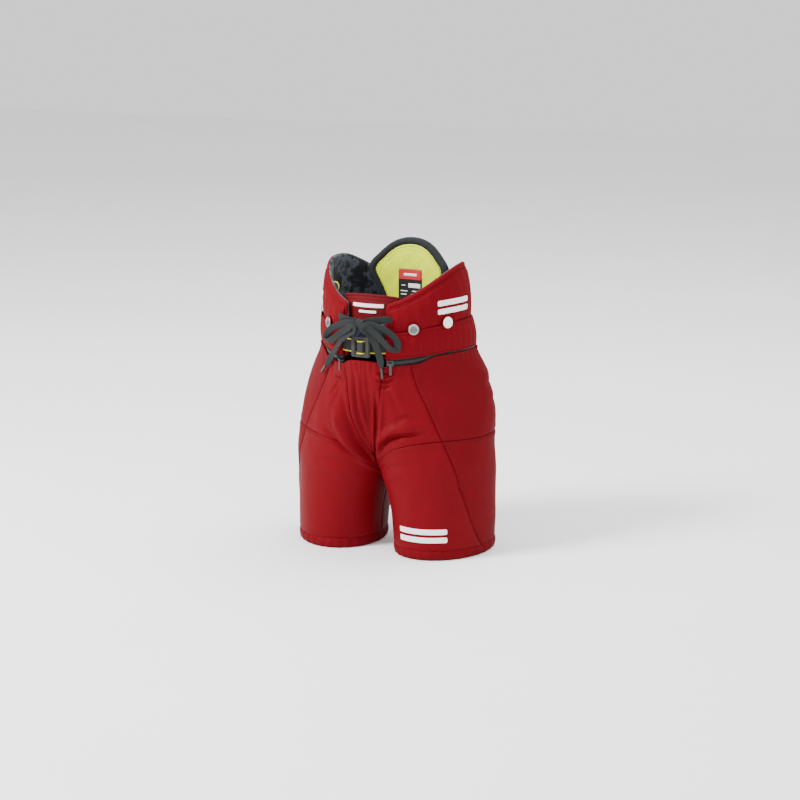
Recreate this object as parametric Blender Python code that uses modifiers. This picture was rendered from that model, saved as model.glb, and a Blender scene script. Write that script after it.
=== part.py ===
"""Youth ice hockey pants, as an assembly of fabric panels, pads, guards, zips, belt, buckle and lace.

Metres, +Z up.  The front faces -Y and the wearer's left is +X.  The pants stand on their two hems.
"""
import math

import bmesh
import bpy
from mathutils import Matrix, Vector

NAME = "hockey_pants"

# Frame
Y_SHIFT = 0.0091            # moves the whole model so that its box is centred on the origin
LEFT, RIGHT = 1, -1
SIDES = (("left", LEFT), ("right", RIGHT))

# Lower shell, one half: height, leg centre x, half width, half depth, centre y, toe-out in degrees,
# and the share by which it is wider behind its middle than in front
SHELL_SECTIONS = (
    (0.000, 0.0800, 0.0625, 0.0800, 0.000, 17.0, 0.00),
    (0.016, 0.0800, 0.0625, 0.0800, 0.000, 17.0, 0.00),
    (0.060, 0.0780, 0.0650, 0.0815, 0.000, 17.0, 0.00),
    (0.100, 0.0720, 0.0715, 0.0840, 0.000, 16.0, 0.02),
    (0.140, 0.0590, 0.0850, 0.0865, -0.001, 14.0, 0.06),
    (0.200, 0.0340, 0.1050, 0.0890, -0.003, 8.0, 0.24),
    (0.250, 0.0110, 0.1115, 0.0910, -0.005, 3.0, 0.34),
    (0.279, 0.0000, 0.1095, 0.0925, -0.006, 0.0, 0.28),
)
SHELL_THICKNESS = 0.0016
PANEL_GAP = 0.0004          # left between neighbouring fabric panels
CENTRE_GAP_T = 0.0009       # the same at the front, back and inner leg seams, as a share of the half turn
HEM_HEIGHT = 0.013
CROSS_SEAM_FRONT_Z = 0.112
CROSS_SEAM_SIDE_Z = 0.168
CROSS_SEAM_CURVE = 4.2
CROSS_SEAM_LEVEL_T = 0.450  # from here round to the back the seam runs level
FLY_BASE_Z = 0.140
FLY_TOP_T = 0.128
FLY_RISE = 0.0080  # the fly panel's middle stands up behind the buckle
SIDE_BACK_SEAM_T = 0.640

# Layers under the shell, as depths below its outer face
PLATE_DEPTH, PLATE_THICKNESS = 0.0036, 0.0013
FOAM_DEPTH, FOAM_THICKNESS = 0.0062, 0.0052
LINER_DEPTH, LINER_THICKNESS = 0.0152, 0.0012

# Waist girdle: height above the tunnel's lower edge, half width, half depth, and how much wider it is behind
GIRDLE_SECTIONS = (
    (-0.010, 0.1095, 0.0925, 0.28),
    (0.000, 0.1095, 0.0925, 0.28),
    (0.020, 0.1090, 0.0938, 0.24),
    (0.042, 0.1065, 0.0915, 0.21),
    (0.080, 0.1040, 0.0890, 0.19),
    (0.115, 0.1010, 0.0870, 0.18),
    (0.140, 0.1000, 0.0865, 0.18),
)
GIRDLE_CENTRE_Y = -0.006
GIRDLE_FRONT_Z = 0.2790     # lower edge of the belt tunnel at the front
GIRDLE_SIDE_RISE = 0.0075   # how much higher that edge is at the side
WING_FRONT_T = 0.130
WING_BACK_T = 0.9985
GIRDLE_COLUMNS = 18         # the same for every layer, so that their facets stay parallel
TUNNEL_THICKNESS = 0.0014
WEBBING_DEPTH, WEBBING_THICKNESS = 0.0019, 0.0012
WING_DEPTH, WING_THICKNESS = 0.0036, 0.0010
KIDNEY_DEPTH, KIDNEY_THICKNESS = 0.0053, 0.0033
WAIST_LINER_DEPTH, WAIST_LINER_THICKNESS = 0.0098, 0.0010
BINDING_RADIUS = 0.0022

# Waist zip between shell and girdle
ZIP_GAP_FRONT, ZIP_GAP_BACK = 0.0090, 0.0020
ZIP_TAPE_DEPTH, ZIP_TAPE_THICKNESS = 0.0021, 0.0009
ZIP_TAPE_DROP = 0.0075      # how far the lower tape reaches below the zip's middle
ZIP_HALF_GAP = 0.0010       # from the zip's middle to each tape's edge
SLIDER_T = 0.152
SLIDER_TRAVEL = 0.0055
SLIDER_LENGTH, SLIDER_HEIGHT, SLIDER_PLATE = 0.0090, 0.0074, 0.0008
SLIDER_FRONT_Y, SLIDER_BACK_Y = -0.0012, -0.0038
PULL_WIDTH, PULL_LENGTH, PULL_THICKNESS = 0.0034, 0.0150, 0.0008
PULL_PIN_Y, PULL_PIN_RADIUS = 0.0024, 0.0005
SLIDER_WEB = (0.0026, 0.0011)       # width and height of the bridge between the slider's plates
EAR_WIDTH, EAR_HEIGHT, EAR_OFFSET = 0.0009, 0.0024, 0.0026
PULL_EYE_INNER, PULL_EYE_OUTER = 0.0008, 0.0017
GUSSET_DEPTH, GUSSET_THICKNESS, GUSSET_BASE_Z = 0.0080, 0.0006, 0.2605

# Belt and buckle
BELT_WIDTH = 0.0180
BELT_LOW_H = 0.0095
BUCKLE_WIDTH, BUCKLE_HEIGHT, BUCKLE_THICKNESS = 0.0270, 0.0275, 0.0030
BUCKLE_WINDOW_HEIGHT, BUCKLE_WINDOW_REACH = 0.0190, 0.0080
BUCKLE_BAR_HALF = 0.0019
BUCKLE_CLEARANCE = 0.0034   # between belt and the back of the buckle
BUCKLE_Z = GIRDLE_FRONT_Z + BELT_LOW_H + BELT_WIDTH / 2

# Snaps and eyelets
SNAP_RADIUS, SNAP_STEM_RADIUS = 0.0078, 0.0012
EYELET_OUTER, EYELET_INNER = 0.0044, 0.0024
SNAP_FRONT_T, SNAP_SIDE_T = 0.250, 0.410
EYELET_T, EYELET_H = 0.160, 0.0560

# Tongue
TONGUE_HALF_WIDTH, TONGUE_TOP_Z, TONGUE_BASE_Z = 0.041, 0.365, 0.290
TONGUE_THICKNESS = 0.0060
TONGUE_DEPTH = 0.0150

# Back pad: outline as height and half width, then its place
BACK_PAD_OUTLINE = (
    (0.296, 0.030), (0.325, 0.040), (0.355, 0.052), (0.384, 0.062), (0.404, 0.048), (0.418, 0.032),
    (0.425, 0.016), (0.427, 0.000),
)
BACK_PAD_CENTRE_Z = 0.3660
BACK_PAD_THICKNESS = 0.0110
BACK_PAD_BASE_Y, BACK_PAD_LEAN = 0.0545, 0.02
BACK_PAD_BOW = 0.0160       # how far the pad's widest place comes forward at its sides
BACK_PAD_BINDING_RADIUS = 0.0060
LABEL_WIDTH, LABEL_HEIGHT, LABEL_THICKNESS, LABEL_Z = 0.0360, 0.0450, 0.0006, 0.3650

# Lace: the wearer's left route from its eyelet through the knot and loop to the aglet, then the right one
LACE_RADIUS = 0.0018
AGLET_LENGTH, AGLET_RADIUS = 0.0150, 0.0017
LACE_LEFT = (
    (0.0405, -0.0880, 0.3356), (0.0360, -0.0928, 0.3360), (0.0276, -0.0971, 0.3358),
    (0.0183, -0.1007, 0.3345), (0.0097, -0.1019, 0.3329), (0.0058, -0.1042, 0.3311),
    (0.0103, -0.1080, 0.3301), (0.0194, -0.1063, 0.3295), (0.0316, -0.1017, 0.3255),
    (0.0427, -0.0962, 0.3178), (0.0499, -0.0911, 0.3064), (0.0489, -0.0912, 0.2959),
    (0.0417, -0.0973, 0.2978), (0.0334, -0.1021, 0.3077), (0.0250, -0.1060, 0.3175),
    (0.0160, -0.1101, 0.3260), (0.0107, -0.1130, 0.3289), (0.0088, -0.1116, 0.3244),
    (0.0145, -0.1081, 0.3188), (0.0207, -0.1044, 0.3086), (0.0253, -0.1022, 0.2955),
    (0.0278, -0.0990, 0.2824), (0.0287, -0.0973, 0.2703),
)
LACE_RIGHT = (
    (-0.0405, -0.0880, 0.3356), (-0.0353, -0.0935, 0.3354), (-0.0266, -0.0983, 0.3340),
    (-0.0176, -0.1009, 0.3327), (-0.0076, -0.1023, 0.3320), (-0.0011, -0.1043, 0.3311),
    (-0.0062, -0.1082, 0.3309), (-0.0176, -0.1068, 0.3302), (-0.0328, -0.1013, 0.3256),
    (-0.0492, -0.0920, 0.3179), (-0.0632, -0.0807, 0.3079), (-0.0675, -0.0766, 0.2992),
    (-0.0583, -0.0851, 0.2978), (-0.0435, -0.0964, 0.3053), (-0.0296, -0.1042, 0.3147),
    (-0.0166, -0.1099, 0.3229), (-0.0082, -0.1131, 0.3269), (-0.0062, -0.1120, 0.3214),
    (-0.0166, -0.1082, 0.3137), (-0.0286, -0.1038, 0.3052), (-0.0412, -0.0955, 0.2914),
    (-0.0552, -0.0849, 0.2759), (-0.0676, -0.0768, 0.2616),
)
LACE_STEPS = 2              # tube points to each route point

RED = (0.30, 0.012, 0.018)
DARK_RED = (0.24, 0.010, 0.014)
BLACK = (0.028, 0.029, 0.030)
LINING = (0.045, 0.048, 0.060)
YELLOW = (0.62, 0.68, 0.06)
GREY = (0.15, 0.15, 0.155)
LACE = (0.060, 0.064, 0.062)
STEEL = (0.60, 0.60, 0.60)


def clear_scene():
    for old in list(bpy.data.objects):
        bpy.data.objects.remove(old, do_unlink=True)


def new_collection(name):
    collection = bpy.data.collections.new(name)
    bpy.context.scene.collection.children.link(collection)
    return collection


def material(name, colour, roughness, metallic=0.0):
    made = bpy.data.materials.get(name) or bpy.data.materials.new(name)
    made.use_nodes = True
    shader = made.node_tree.nodes["Principled BSDF"]
    shader.inputs["Base Color"].default_value = (*colour, 1.0)
    shader.inputs["Roughness"].default_value = roughness
    shader.inputs["Metallic"].default_value = metallic
    return made


# ---- Curved surfaces that the sheets are laid on ----

def smooth_step(low, high, value):
    share = min(max((value - low) / (high - low), 0.0), 1.0)
    return share * share * (3.0 - 2.0 * share)


def profile(rows, height):
    """Read the rows' values at a height, on a smooth curve through them."""
    height = min(max(height, rows[0][0]), rows[-1][0])
    index = next(i for i in range(len(rows) - 1) if height <= rows[i + 1][0])
    low, high = rows[index], rows[index + 1]
    before, after = rows[max(index - 1, 0)], rows[min(index + 2, len(rows) - 1)]
    span = high[0] - low[0]
    share = (height - low[0]) / span
    values = []
    for k in range(1, len(low)):
        slope_low = (high[k] - before[k]) / (high[0] - before[0]) * span
        slope_high = (after[k] - low[k]) / (after[0] - low[0]) * span
        values.append((2 * share**3 - 3 * share**2 + 1) * low[k]
                      + (share**3 - 2 * share**2 + share) * slope_low
                      + (3 * share**2 - 2 * share**3) * high[k]
                      + (share**3 - share**2) * slope_high)
    return values


def shell_point(side, t, z, depth):
    """A point of one trouser half: t runs from the front seam (0) round the outside to the back seam (1).

    Each half's section is an ellipse cut off at the middle plane, and a whole ring below the crotch.
    """
    centre_x, half_width, half_depth, centre_y, toe_out, skew = profile(SHELL_SECTIONS, z)
    half_width -= depth
    half_depth -= depth
    turn = math.radians(toe_out)
    reach = math.hypot(half_width * math.cos(turn), half_depth * math.sin(turn))
    offset = math.atan2(half_depth * math.sin(turn), half_width * math.cos(turn))
    opening = math.pi if centre_x >= reach else math.acos(-centre_x / reach)
    angle = offset - opening + 2.0 * opening * t
    x = centre_x + half_width * math.cos(angle) * math.cos(turn) + half_depth * math.sin(angle) * math.sin(turn)
    y = centre_y - half_width * math.cos(angle) * math.sin(turn) + half_depth * math.sin(angle) * math.cos(turn)
    x *= 1.0 + skew * (y - centre_y) / half_depth
    return Vector((side * x, y + Y_SHIFT, z))


def girdle_base(t):
    """Height of the belt tunnel's lower edge."""
    return GIRDLE_FRONT_Z + GIRDLE_SIDE_RISE * smooth_step(0.05, 0.50, t)


def girdle_point(side, t, h, depth):
    """A point of the waist girdle, h above the tunnel's lower edge."""
    half_width, half_depth, skew = profile(GIRDLE_SECTIONS, h)
    x = (half_width - depth) * math.sin(math.pi * t) * (1.0 - skew * math.cos(math.pi * t))
    y = GIRDLE_CENTRE_Y - (half_depth - depth) * math.cos(math.pi * t)
    return Vector((side * x, y + Y_SHIFT, girdle_base(t) + h))


def girdle_share(x, h, depth):
    """The t at which the front of the girdle is x from the middle plane."""
    low, high = 0.0, 0.5
    for _ in range(30):
        middle = 0.5 * (low + high)
        if girdle_point(LEFT, middle, h, depth).x < x:
            low = middle
        else:
            high = middle
    return low


def girdle_frame(side, t, h, depth, facing_t=None):
    """A place on the girdle: local y points out of the surface as it faces at facing_t, local z runs up it."""
    facing = t if facing_t is None else facing_t
    step_t, step_h = 0.01, 0.004
    along = girdle_point(side, facing + step_t, h, depth) - girdle_point(side, facing - step_t, h, depth)
    along.z = 0.0
    up = girdle_point(side, facing, h + step_h, depth) - girdle_point(side, facing, h - step_h, depth)
    up.normalize()
    out = along.cross(up).normalized() * side
    axes = Matrix((out.cross(up), out, up)).transposed().to_4x4()
    return Matrix.Translation(girdle_point(side, t, h, depth)) @ axes


def zip_gap(t):
    return ZIP_GAP_FRONT + (ZIP_GAP_BACK - ZIP_GAP_FRONT) * smooth_step(0.26, 0.36, t)


def zip_line(t):
    """Height of the zip's middle above the tunnel's lower edge: midway in the gap."""
    return -0.5 * zip_gap(t) - 0.0002


def shell_top(t):
    return girdle_base(t) - zip_gap(t)


def tunnel_height(t):
    return 0.0360 + 0.0055 * smooth_step(0.05, 0.60, t)


def wing_height(t):
    """Height of the wing's top edge above the tunnel's lower edge: it rises to the side, then falls."""
    rise = 0.0735 + 0.0415 * smooth_step(0.08, 0.58, t)
    return rise - 0.0330 * smooth_step(0.62, 0.95, t)


def cross_seam(t):
    """The seam across the leg climbs from the crotch to the side, steeply at first."""
    share = 1.0 - max(1.0 - t / CROSS_SEAM_LEVEL_T, 0.0) ** CROSS_SEAM_CURVE
    return CROSS_SEAM_FRONT_Z + (CROSS_SEAM_SIDE_Z - CROSS_SEAM_FRONT_Z) * share


def diagonal_seam(z):
    """The seam between front and side runs from the zip down and backwards to the hem."""
    return 0.200 + 0.255 * max(1.0 - z / 0.282, 0.0) ** 0.60


def fly_edge(z):
    return FLY_TOP_T * max((z - FLY_BASE_Z) / 0.14, 0.0) ** 0.7


# ---- Makers ----

def carry(made, parent):
    """Parent a placed object without moving it."""
    if parent is not None:
        made.parent = parent
        made.matrix_parent_inverse = parent.matrix_world.inverted()


def finish_object(name, mesh, collection, surface, parent=None):
    made = bpy.data.objects.new(name, mesh)
    made.data.materials.append(surface)
    collection.objects.link(made)
    carry(made, parent)
    return made


def pivot(name, place, collection, parent=None):
    """An empty on a joint's axis, which carries the pieces that move with it."""
    made = bpy.data.objects.new(name, None)
    made.matrix_world = place if isinstance(place, Matrix) else Matrix.Translation(place)
    made.empty_display_size = 0.01
    collection.objects.link(made)
    carry(made, parent)
    bpy.context.view_layer.update()
    return made


def sheet(name, place, columns, rows, depth, thickness, collection, surface, parent=None, weld=False):
    """A sheet laid on a surface by place(u, v, depth), outer face at depth, thickened inwards."""
    bm = bmesh.new()
    bmesh.ops.create_grid(bm, x_segments=columns, y_segments=rows, size=0.5)
    for vertex in bm.verts:
        vertex.co = place(vertex.co.x + 0.5, vertex.co.y + 0.5, depth)
    if weld:
        bmesh.ops.remove_doubles(bm, verts=bm.verts, dist=0.00001)
    bm.normal_update()
    outward = place(0.5, 0.52, depth) - place(0.5, 0.52, depth + 0.001)
    middle = place(0.5, 0.52, depth)
    nearest = min(bm.faces, key=lambda face: (face.calc_center_median() - middle).length)
    if nearest.normal.dot(outward) < 0.0:
        bmesh.ops.reverse_faces(bm, faces=bm.faces)
    mesh = bpy.data.meshes.new(name)
    bm.to_mesh(mesh)
    bm.free()
    mesh.shade_smooth()
    made = finish_object(name, mesh, collection, surface, parent)
    solid = made.modifiers.new("thickness", "SOLIDIFY")
    solid.thickness = thickness
    solid.offset = -1.0
    return made


def tube(name, points, radius, collection, surface, parent=None, closed=False):
    curve = bpy.data.curves.new(name, "CURVE")
    curve.dimensions = "3D"
    curve.bevel_depth = radius
    curve.bevel_resolution = 2
    curve.use_fill_caps = True
    spline = curve.splines.new("POLY")
    spline.points.add(len(points) - 1)
    for target, point in zip(spline.points, points):
        target.co = (*point, 1.0)
    spline.use_cyclic_u = closed
    made = bpy.data.objects.new(name, curve)
    curve.materials.append(surface)
    collection.objects.link(made)
    carry(made, parent)
    return made


def box_mesh(name, size, centre):
    bm = bmesh.new()
    bmesh.ops.create_cube(bm, size=1.0)
    bmesh.ops.scale(bm, vec=Vector(size), verts=bm.verts)
    bmesh.ops.translate(bm, vec=Vector(centre), verts=bm.verts)
    mesh = bpy.data.meshes.new(name)
    bm.to_mesh(mesh)
    bm.free()
    return mesh


def rod_mesh(name, radius, length, centre, sides=12):
    """A cylinder along local X."""
    bm = bmesh.new()
    bmesh.ops.create_cone(bm, cap_ends=True, segments=sides, radius1=radius, radius2=radius, depth=length,
                          matrix=Matrix.Translation(centre) @ Matrix.Rotation(math.pi / 2, 4, "Y"))
    mesh = bpy.data.meshes.new(name)
    bm.to_mesh(mesh)
    bm.free()
    return mesh


def turned(name, outline, steps, place, collection, surface, parent=None, closed=False):
    """A profile of (radius, height) pairs, down its outer side, turned about the place's local Y."""
    bm = bmesh.new()
    corners = [bm.verts.new((radius, 0.0, height)) for radius, height in outline]
    for first, second in zip(corners, corners[1:]):
        bm.edges.new((first, second))
    if closed:
        bm.edges.new((corners[-1], corners[0]))
    mesh = bpy.data.meshes.new(name)
    bm.to_mesh(mesh)
    bm.free()
    made = bpy.data.objects.new(name, mesh)
    mesh.materials.append(surface)
    made.matrix_world = place @ Matrix.Rotation(-math.pi / 2, 4, "X")
    collection.objects.link(made)
    carry(made, parent)
    screw = made.modifiers.new("turn", "SCREW")
    screw.steps = screw.render_steps = steps
    screw.use_merge_vertices = True
    screw.merge_threshold = 0.00001
    return made


def placed(name, mesh, place, collection, surface=None):
    made = bpy.data.objects.new(name, mesh)
    made.matrix_world = place
    collection.objects.link(made)
    if surface is not None:
        mesh.materials.append(surface)
    return made


def combine(target, mesh, place, operation, cutters):
    """Join a helper mesh to the target, or cut it out; the helper stays hidden."""
    operand = placed(mesh.name, mesh, place, cutters)
    operand.hide_render = True
    operand.display_type = "WIRE"
    step = target.modifiers.new(mesh.name, "BOOLEAN")
    step.operation = operation
    step.object = operand
    step.solver = "EXACT"


def smooth_route(points, steps):
    """Points on a smooth curve through a route's own points."""
    route = [Vector(point) for point in points]
    route = [2 * route[0] - route[1], *route, 2 * route[-1] - route[-2]]
    result = []
    for a, b, c, d in zip(route, route[1:], route[2:], route[3:]):
        for i in range(steps):
            k = i / steps
            result.append(0.5 * (2 * b + (c - a) * k + (2 * a - 5 * b + 4 * c - d) * k**2
                                 + (3 * b - 3 * c + d - a) * k**3))
    return [*result, route[-2]]


# ---- Shell panels and the layers under them ----

def shell_sheet(name, side, t_low, t_high, z_low, z_high, grid, depth, thickness, collection, surface):
    """A panel between two seams (functions of z) and two heights (functions of t)."""
    columns, rows = grid

    def across(u, z):
        return t_low(z) + (t_high(z) - t_low(z)) * u

    def place(u, v, at_depth):
        bottom = z_low(across(u, z_low(0.4)))
        top = z_high(across(u, z_high(0.4)))
        z = bottom + (top - bottom) * v
        return shell_point(side, across(u, z), z, at_depth)

    return sheet(name, place, columns, rows, depth, thickness, collection, surface)


def shell_half(label, side, parts, fabric, matte):
    half_gap = PANEL_GAP / 2
    seam_t = 0.0010
    front = (lambda z: max(fly_edge(z) + seam_t, CENTRE_GAP_T), lambda z: diagonal_seam(z) - seam_t)
    flank = (lambda z: diagonal_seam(z) + seam_t, lambda z: SIDE_BACK_SEAM_T - seam_t)
    back = (lambda z: SIDE_BACK_SEAM_T + seam_t, lambda z: 1.0 - CENTRE_GAP_T)
    upper = (lambda t: cross_seam(t) + half_gap, shell_top)
    lower = (lambda t: HEM_HEIGHT + half_gap, lambda t: cross_seam(t) - half_gap)
    layout = (
        ("front_upper_panel", front, upper, (12, 6), fabric),
        ("front_lower_panel", front, lower, (12, 9), fabric),
        ("side_upper_panel", flank, upper, (10, 6), matte),
        ("side_lower_panel", flank, lower, (10, 9), matte),
        ("seat_panel", back, upper, (8, 6), matte),
        ("back_lower_panel", back, lower, (11, 9), fabric),
    )
    for part, seams, heights, grid, surface in layout:
        shell_sheet(f"{part}_{label}", side, *seams, *heights, grid, 0.0, SHELL_THICKNESS, parts, surface)
    around = (lambda z: CENTRE_GAP_T, lambda z: 1.0 - CENTRE_GAP_T)
    hem = (lambda t: 0.0, lambda t: HEM_HEIGHT - half_gap)
    shell_sheet(f"hem_band_{label}", side, *around, *hem, (28, 1), 0.0, 0.0026, parts, matte)


def shell_padding(label, side, parts, plastic, foam, lining):
    """Guards and foam between shell and liner, and the liner tube."""
    guard = (lambda z: 0.17, lambda z: 0.56)
    guard_heights = (lambda t: 0.022, lambda t: cross_seam(t) - 0.030)
    shell_sheet(f"thigh_guard_plate_{label}", side, *guard, *guard_heights, (14, 8),
                PLATE_DEPTH, PLATE_THICKNESS, parts, plastic)
    foam_span = (lambda z: 0.14, lambda z: 0.61)
    foam_heights = (lambda t: 0.018, lambda t: cross_seam(t) - 0.024)
    shell_sheet(f"thigh_guard_foam_{label}", side, *foam_span, *foam_heights, (14, 8),
                FOAM_DEPTH, FOAM_THICKNESS, parts, foam)
    hip_span = (lambda z: 0.24, lambda z: 0.80)
    hip_heights = (lambda t: cross_seam(t) + 0.010, lambda t: 0.2525)
    shell_sheet(f"hip_guard_foam_{label}", side, *hip_span, *hip_heights, (12, 4),
                FOAM_DEPTH, FOAM_THICKNESS, parts, foam)
    liner_span = (lambda z: 0.004, lambda z: 0.996)
    liner_heights = (lambda t: 0.012, lambda t: 0.2545)
    shell_sheet(f"leg_liner_{label}", side, *liner_span, *liner_heights, (20, 9),
                LINER_DEPTH, LINER_THICKNESS, parts, lining)


def fly_panel(parts, fabric):
    """The centre front panel lies on both halves and narrows to a point above the crotch."""
    low = FLY_BASE_Z + 0.006

    def place(u, v, depth):
        across = 2.0 * u - 1.0
        high = shell_top(0.0) + FLY_RISE * (1.0 - across**4)
        z = low + (high - low) * v
        side = LEFT if across >= 0.0 else RIGHT
        return shell_point(side, abs(across) * (fly_edge(z) - 0.0010), z, depth)

    sheet("fly_panel", place, 8, 6, 0.0, SHELL_THICKNESS, parts, fabric)


# ---- Waist girdle ----

def girdle_sheet(name, side, t_span, h_low, h_high, grid, depth, thickness, parts, surface, parent):
    def place(u, v, at_depth):
        t = t_span[0] + (t_span[1] - t_span[0]) * u
        h = h_low(t) + (h_high(t) - h_low(t)) * v
        return girdle_point(side, t, h, at_depth)

    return sheet(name, place, *grid, depth, thickness, parts, surface, parent)


def girdle_half(label, side, parts, knit, foam, lining, tape, parent):
    span = (WING_FRONT_T, WING_BACK_T)
    girdle_sheet(f"belt_tunnel_{label}", side, span, lambda t: 0.0, tunnel_height, (GIRDLE_COLUMNS, 3),
                 0.0, TUNNEL_THICKNESS, parts, knit, parent)
    girdle_sheet(f"waist_wing_{label}", side, span, lambda t: 0.0, wing_height, (GIRDLE_COLUMNS, 5),
                 WING_DEPTH, WING_THICKNESS, parts, knit, parent)
    girdle_sheet(f"kidney_pad_{label}", side, span, lambda t: 0.002, lambda t: wing_height(t) - 0.002,
                 (GIRDLE_COLUMNS, 4), KIDNEY_DEPTH, KIDNEY_THICKNESS, parts, foam, parent)
    girdle_sheet(f"waist_liner_{label}", side, span, lambda t: 0.0, wing_height, (GIRDLE_COLUMNS, 4),
                 WAIST_LINER_DEPTH, WAIST_LINER_THICKNESS, parts, lining, parent)
    girdle_sheet(f"zip_tape_upper_{label}", side, span,
                 lambda t: zip_line(t) + ZIP_HALF_GAP, lambda t: 0.0046,
                 (GIRDLE_COLUMNS, 1), ZIP_TAPE_DEPTH, ZIP_TAPE_THICKNESS, parts, tape, parent)
    wing_binding(label, side, parts, knit, parent)


def wing_binding(label, side, parts, knit, parent):
    """The rolled edge along the top of a wing."""
    middle_depth = 0.5 * (WING_DEPTH + WAIST_LINER_DEPTH + WAIST_LINER_THICKNESS)
    points = []
    for i in range(GIRDLE_COLUMNS + 1):
        t = WING_FRONT_T + (WING_BACK_T - WING_FRONT_T) * i / GIRDLE_COLUMNS
        point = girdle_point(side, t, wing_height(t), middle_depth)
        points.append(point + Vector((0.0, 0.0, BINDING_RADIUS + 0.0005)))
    tube(f"wing_binding_{label}", points, BINDING_RADIUS, parts, knit, parent)


# ---- Waist zip ----

def zip_lower(label, side, parts, tape):
    def place(u, v, depth):
        t = WING_FRONT_T + (WING_BACK_T - WING_FRONT_T) * u
        top = zip_line(t) - ZIP_HALF_GAP
        h = zip_line(t) - ZIP_TAPE_DROP + (top - zip_line(t) + ZIP_TAPE_DROP) * v
        return girdle_point(side, t, h, depth)

    sheet(f"zip_tape_lower_{label}", place, GIRDLE_COLUMNS, 1, ZIP_TAPE_DEPTH, ZIP_TAPE_THICKNESS, parts, tape)


def slider_end(side):
    """Where the slider's travel ends, for its axis."""
    share = SLIDER_TRAVEL / (girdle_point(side, SLIDER_T + 0.05, 0, 0) - girdle_point(side, SLIDER_T, 0, 0)).length
    return SLIDER_T + 0.05 * share


def zip_slider(label, side, parts, cutters, steel):
    middle_t = 0.5 * (SLIDER_T + slider_end(side))
    place = girdle_frame(side, SLIDER_T, zip_line(SLIDER_T), 0.0, middle_t)
    carrier = pivot(f"zip_carrier_{label}", place, parts)
    plate = (SLIDER_LENGTH, SLIDER_PLATE, SLIDER_HEIGHT)
    front = box_mesh(f"zip_slider_{label}", plate, (0.0, SLIDER_FRONT_Y, 0.0))
    slider = placed(f"zip_slider_{label}", front, place, parts, steel)
    carry(slider, carrier)
    back = box_mesh(f"slider_back_{label}", plate, (0.0, SLIDER_BACK_Y, 0.0))
    web_size = (SLIDER_WEB[0], SLIDER_FRONT_Y - SLIDER_BACK_Y, SLIDER_WEB[1])
    web = box_mesh(f"slider_web_{label}", web_size, (0.0, 0.5 * (SLIDER_FRONT_Y + SLIDER_BACK_Y), 0.0))
    pin_length = 2.0 * EAR_OFFSET + 0.0006
    pin = rod_mesh(f"slider_pin_{label}", PULL_PIN_RADIUS, pin_length, (0.0, PULL_PIN_Y, 0.0))
    pieces = [back, web]
    ear_depth = PULL_PIN_Y + 2.0 * PULL_PIN_RADIUS - SLIDER_FRONT_Y
    ear_size = (EAR_WIDTH, ear_depth, EAR_HEIGHT)
    for end in (-1, 1):
        ear_centre = (end * EAR_OFFSET, SLIDER_FRONT_Y + 0.5 * ear_depth, 0.0)
        pieces.append(box_mesh(f"slider_ear_{label}_{end}", ear_size, ear_centre))
    for piece in (*pieces, pin):
        combine(slider, piece, place, "UNION", cutters)
    zip_pull(label, place @ Matrix.Translation((0.0, PULL_PIN_Y, 0.0)), parts, cutters, steel, carrier)


def zip_pull(label, place, parts, cutters, steel, carrier):
    pin = pivot(f"zip_pin_{label}", place, parts, carrier)
    size = (PULL_WIDTH, PULL_THICKNESS, PULL_LENGTH)
    blade = box_mesh(f"zip_pull_{label}", size, (0.0, 0.0, -0.5 * PULL_LENGTH - 0.0008))
    pull = placed(f"zip_pull_{label}", blade, place, parts, steel)
    carry(pull, pin)
    eye = rod_mesh(f"pull_eye_{label}", PULL_EYE_OUTER, 0.0030, (0.0, 0.0, 0.0))
    combine(pull, eye, place, "UNION", cutters)
    bore = rod_mesh(f"pull_bore_{label}", PULL_EYE_INNER, 0.0080, (0.0, 0.0, 0.0))
    combine(pull, bore, place, "DIFFERENCE", cutters)


def waist_gusset(parts, lining):
    """The folded fabric behind the zip, which opens out when the waist is let up."""
    def place(u, v, depth):
        across = 2.0 * u - 1.0
        side = LEFT if across >= 0.0 else RIGHT
        t = 1.0 - (1.0 - WING_FRONT_T) * abs(across)
        z = GUSSET_BASE_Z + (girdle_base(t) - 0.0014 - GUSSET_BASE_Z) * v
        return shell_point(side, t, z, depth)

    sheet("waist_gusset", place, 2 * GIRDLE_COLUMNS, 1, GUSSET_DEPTH, GUSSET_THICKNESS, parts, lining)


# ---- Belt, buckle, snaps and eyelets ----

def belt_face_y(x, h):
    """The belt's outer face in front, as it runs over the buckle's bar."""
    resting = girdle_point(LEFT, girdle_share(x, h, WEBBING_DEPTH), h, WEBBING_DEPTH).y
    rise = BUCKLE_CLEARANCE + BUCKLE_THICKNESS + WEBBING_THICKNESS + 0.0006
    return resting - rise * smooth_step(0.0068, 0.0032, x)


def belt(parts, webbing, parent):
    """One strip from the back of one tunnel, over the buckle's bar, to the back of the other."""
    hump = [0.0, 0.0028, 0.0037, 0.0044, 0.0051, 0.0058, 0.0066, 0.0080, 0.0180]
    last = GIRDLE_COLUMNS - 2
    stations = [("x", x) for x in hump]
    stations += [("t", WING_FRONT_T + (WING_BACK_T - WING_FRONT_T) * i / GIRDLE_COLUMNS) for i in range(last + 1)]
    count = len(stations) - 1

    def place(u, v, depth):
        number = round((2.0 * u - 1.0) * count)
        side = LEFT if number >= 0 else RIGHT
        kind, value = stations[abs(number)]
        h = BELT_LOW_H + BELT_WIDTH * v
        if kind == "t":
            return girdle_point(side, value, h, depth)
        return Vector((side * value, belt_face_y(value, h) + depth - WEBBING_DEPTH, GIRDLE_FRONT_Z + h))

    sheet("belt_webbing", place, 2 * count, 2, WEBBING_DEPTH, WEBBING_THICKNESS, parts, webbing, parent)


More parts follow.
